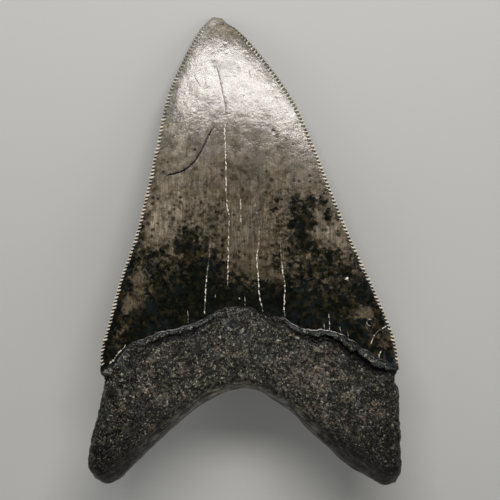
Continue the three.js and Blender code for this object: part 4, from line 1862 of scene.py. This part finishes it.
@dataclass
class Studio:
    """Pale floor, soft lights and the camera, which looks square onto the lip face with the tip upwards."""

    mesh: ToothMesh
    look_at: Triple = (1.4, 55.2, 0.0)
    lit_point: Triple = (0, 60, 0)
    field_height: float = 115.0
    lens: float = 100.0
    sensor: float = 36.0
    floor_reach: float = 1.6
    sky: Colour = (0.82, 0.9, 0.88, 1)
    sky_strength: float = 0.03
    lights: Sequence[Softbox] = (
        Softbox("top softbox", (0.06, 0.53, 1), 0.42, (0.36, 0.095), 1.8, (1, 0.955, 0.93)),
        Softbox("far window", (-0.6, 1.2, 0.7), 0.8, (0.5, 0.4), 1.6, (0.95, 0.98, 1)),
        Softbox("side fill", (1.1, -0.2, 0.9), 0.8, (0.5, 0.5), 0.4, (1, 0.98, 0.95)),
        Softbox("low bounce", (0.1, -1.3, 0.5), 0.6, (0.5, 0.3), 1.0, (1, 0.98, 0.95)),
    )

    def place(self, point: Sequence[float]) -> Vector:
        """A point of the tooth's frame, in millimetres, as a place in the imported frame, in metres."""
        return Vector((np.array(point) @ self.mesh.turn.T + self.mesh.shift) * MM)

    def way(self, direction: Sequence[float]) -> Vector:
        """A direction of the tooth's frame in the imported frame."""
        return Vector(np.array(direction, dtype=float) @ self.mesh.turn.T).normalized()

    def camera(self) -> None:
        """Makes the camera and sets it as the scene's."""
        data = bpy.data.cameras.new("camera")
        data.lens = self.lens
        data.sensor_width = self.sensor
        distance = self.field_height * MM * self.lens / self.sensor
        out, up, right = self.way((0, 0, 1)), self.way((0, 1, 0)), self.way((1, 0, 0))
        turned = Matrix((right, up, out)).transposed().to_4x4()
        camera = bpy.data.objects.new("camera", data)
        camera.matrix_world = Matrix.Translation(self.place(self.look_at) + out * distance) @ turned
        bpy.context.scene.collection.objects.link(camera)
        bpy.context.scene.camera = camera

    def floor(self) -> None:
        """Makes a wide square floor that faces up."""
        reach = self.floor_reach
        corners = [(-reach, -reach, 0), (reach, -reach, 0), (reach, reach, 0), (-reach, reach, 0)]
        mesh = bpy.data.meshes.new("floor")
        mesh.from_pydata(corners, [], [(0, 1, 2, 3)])
        mesh.materials.append(FloorPaper().build())
        floor = bpy.data.objects.new("floor", mesh)
        bpy.context.scene.collection.objects.link(floor)

    def build(self) -> None:
        """Sets the whole studio."""
        scene = bpy.context.scene
        scene.view_settings.view_transform = "Standard"
        scene.world = bpy.data.worlds.new("studio")
        scene.world.use_nodes = True
        backdrop = scene.world.node_tree.nodes["Background"]
        backdrop.inputs["Color"].default_value = self.sky
        backdrop.inputs["Strength"].default_value = self.sky_strength
        self.camera()
        self.floor()
        for light in self.lights:
            light.build(self.place(self.lit_point), self.way(light.direction))


# ---------------------------------------------------------------------------------------------------------
# Building
# ---------------------------------------------------------------------------------------------------------


def dress(tooth: bpy.types.Object, mesh: ToothMesh, effects: Effects) -> None:
    """Gives crown and root their finishes: a face is root where the mean rise of its corners is under 1.

    Args:
        tooth: the finished object.
        mesh: its mesh's parameters.
        effects: the shared node groups.
    """
    for finish in (Enamel(), RootStone()):
        tooth.data.materials.append(finish.build(effects))
    faces = tooth.data.polygons
    starts, totals = np.empty(len(faces), dtype=int), np.empty(len(faces), dtype=int)
    faces.foreach_get("loop_start", starts)
    faces.foreach_get("loop_total", totals)
    corners = np.empty(len(tooth.data.loops), dtype=int)
    tooth.data.loops.foreach_get("vertex_index", corners)
    rises = np.add.reduceat(mesh.rise[corners], starts) / totals
    faces.foreach_set("material_index", (rises < 1).astype(np.int32))


def main() -> None:
    """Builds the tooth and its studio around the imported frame."""
    logging.basicConfig(level=logging.INFO, format="%(name)s: %(message)s")
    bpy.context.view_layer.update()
    mesh = ToothMesh()
    tooth = mesh.build("tooth_surface")
    dress(tooth, mesh, Effects.make())
    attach(tooth, "root")
    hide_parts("tooth")
    LOG.info("%s: %d points, %d faces", tooth.name, len(tooth.data.vertices), len(tooth.data.polygons))
    Studio(mesh).build()
    LOG.info("studio is set")


if __name__ == "__main__":
    main()
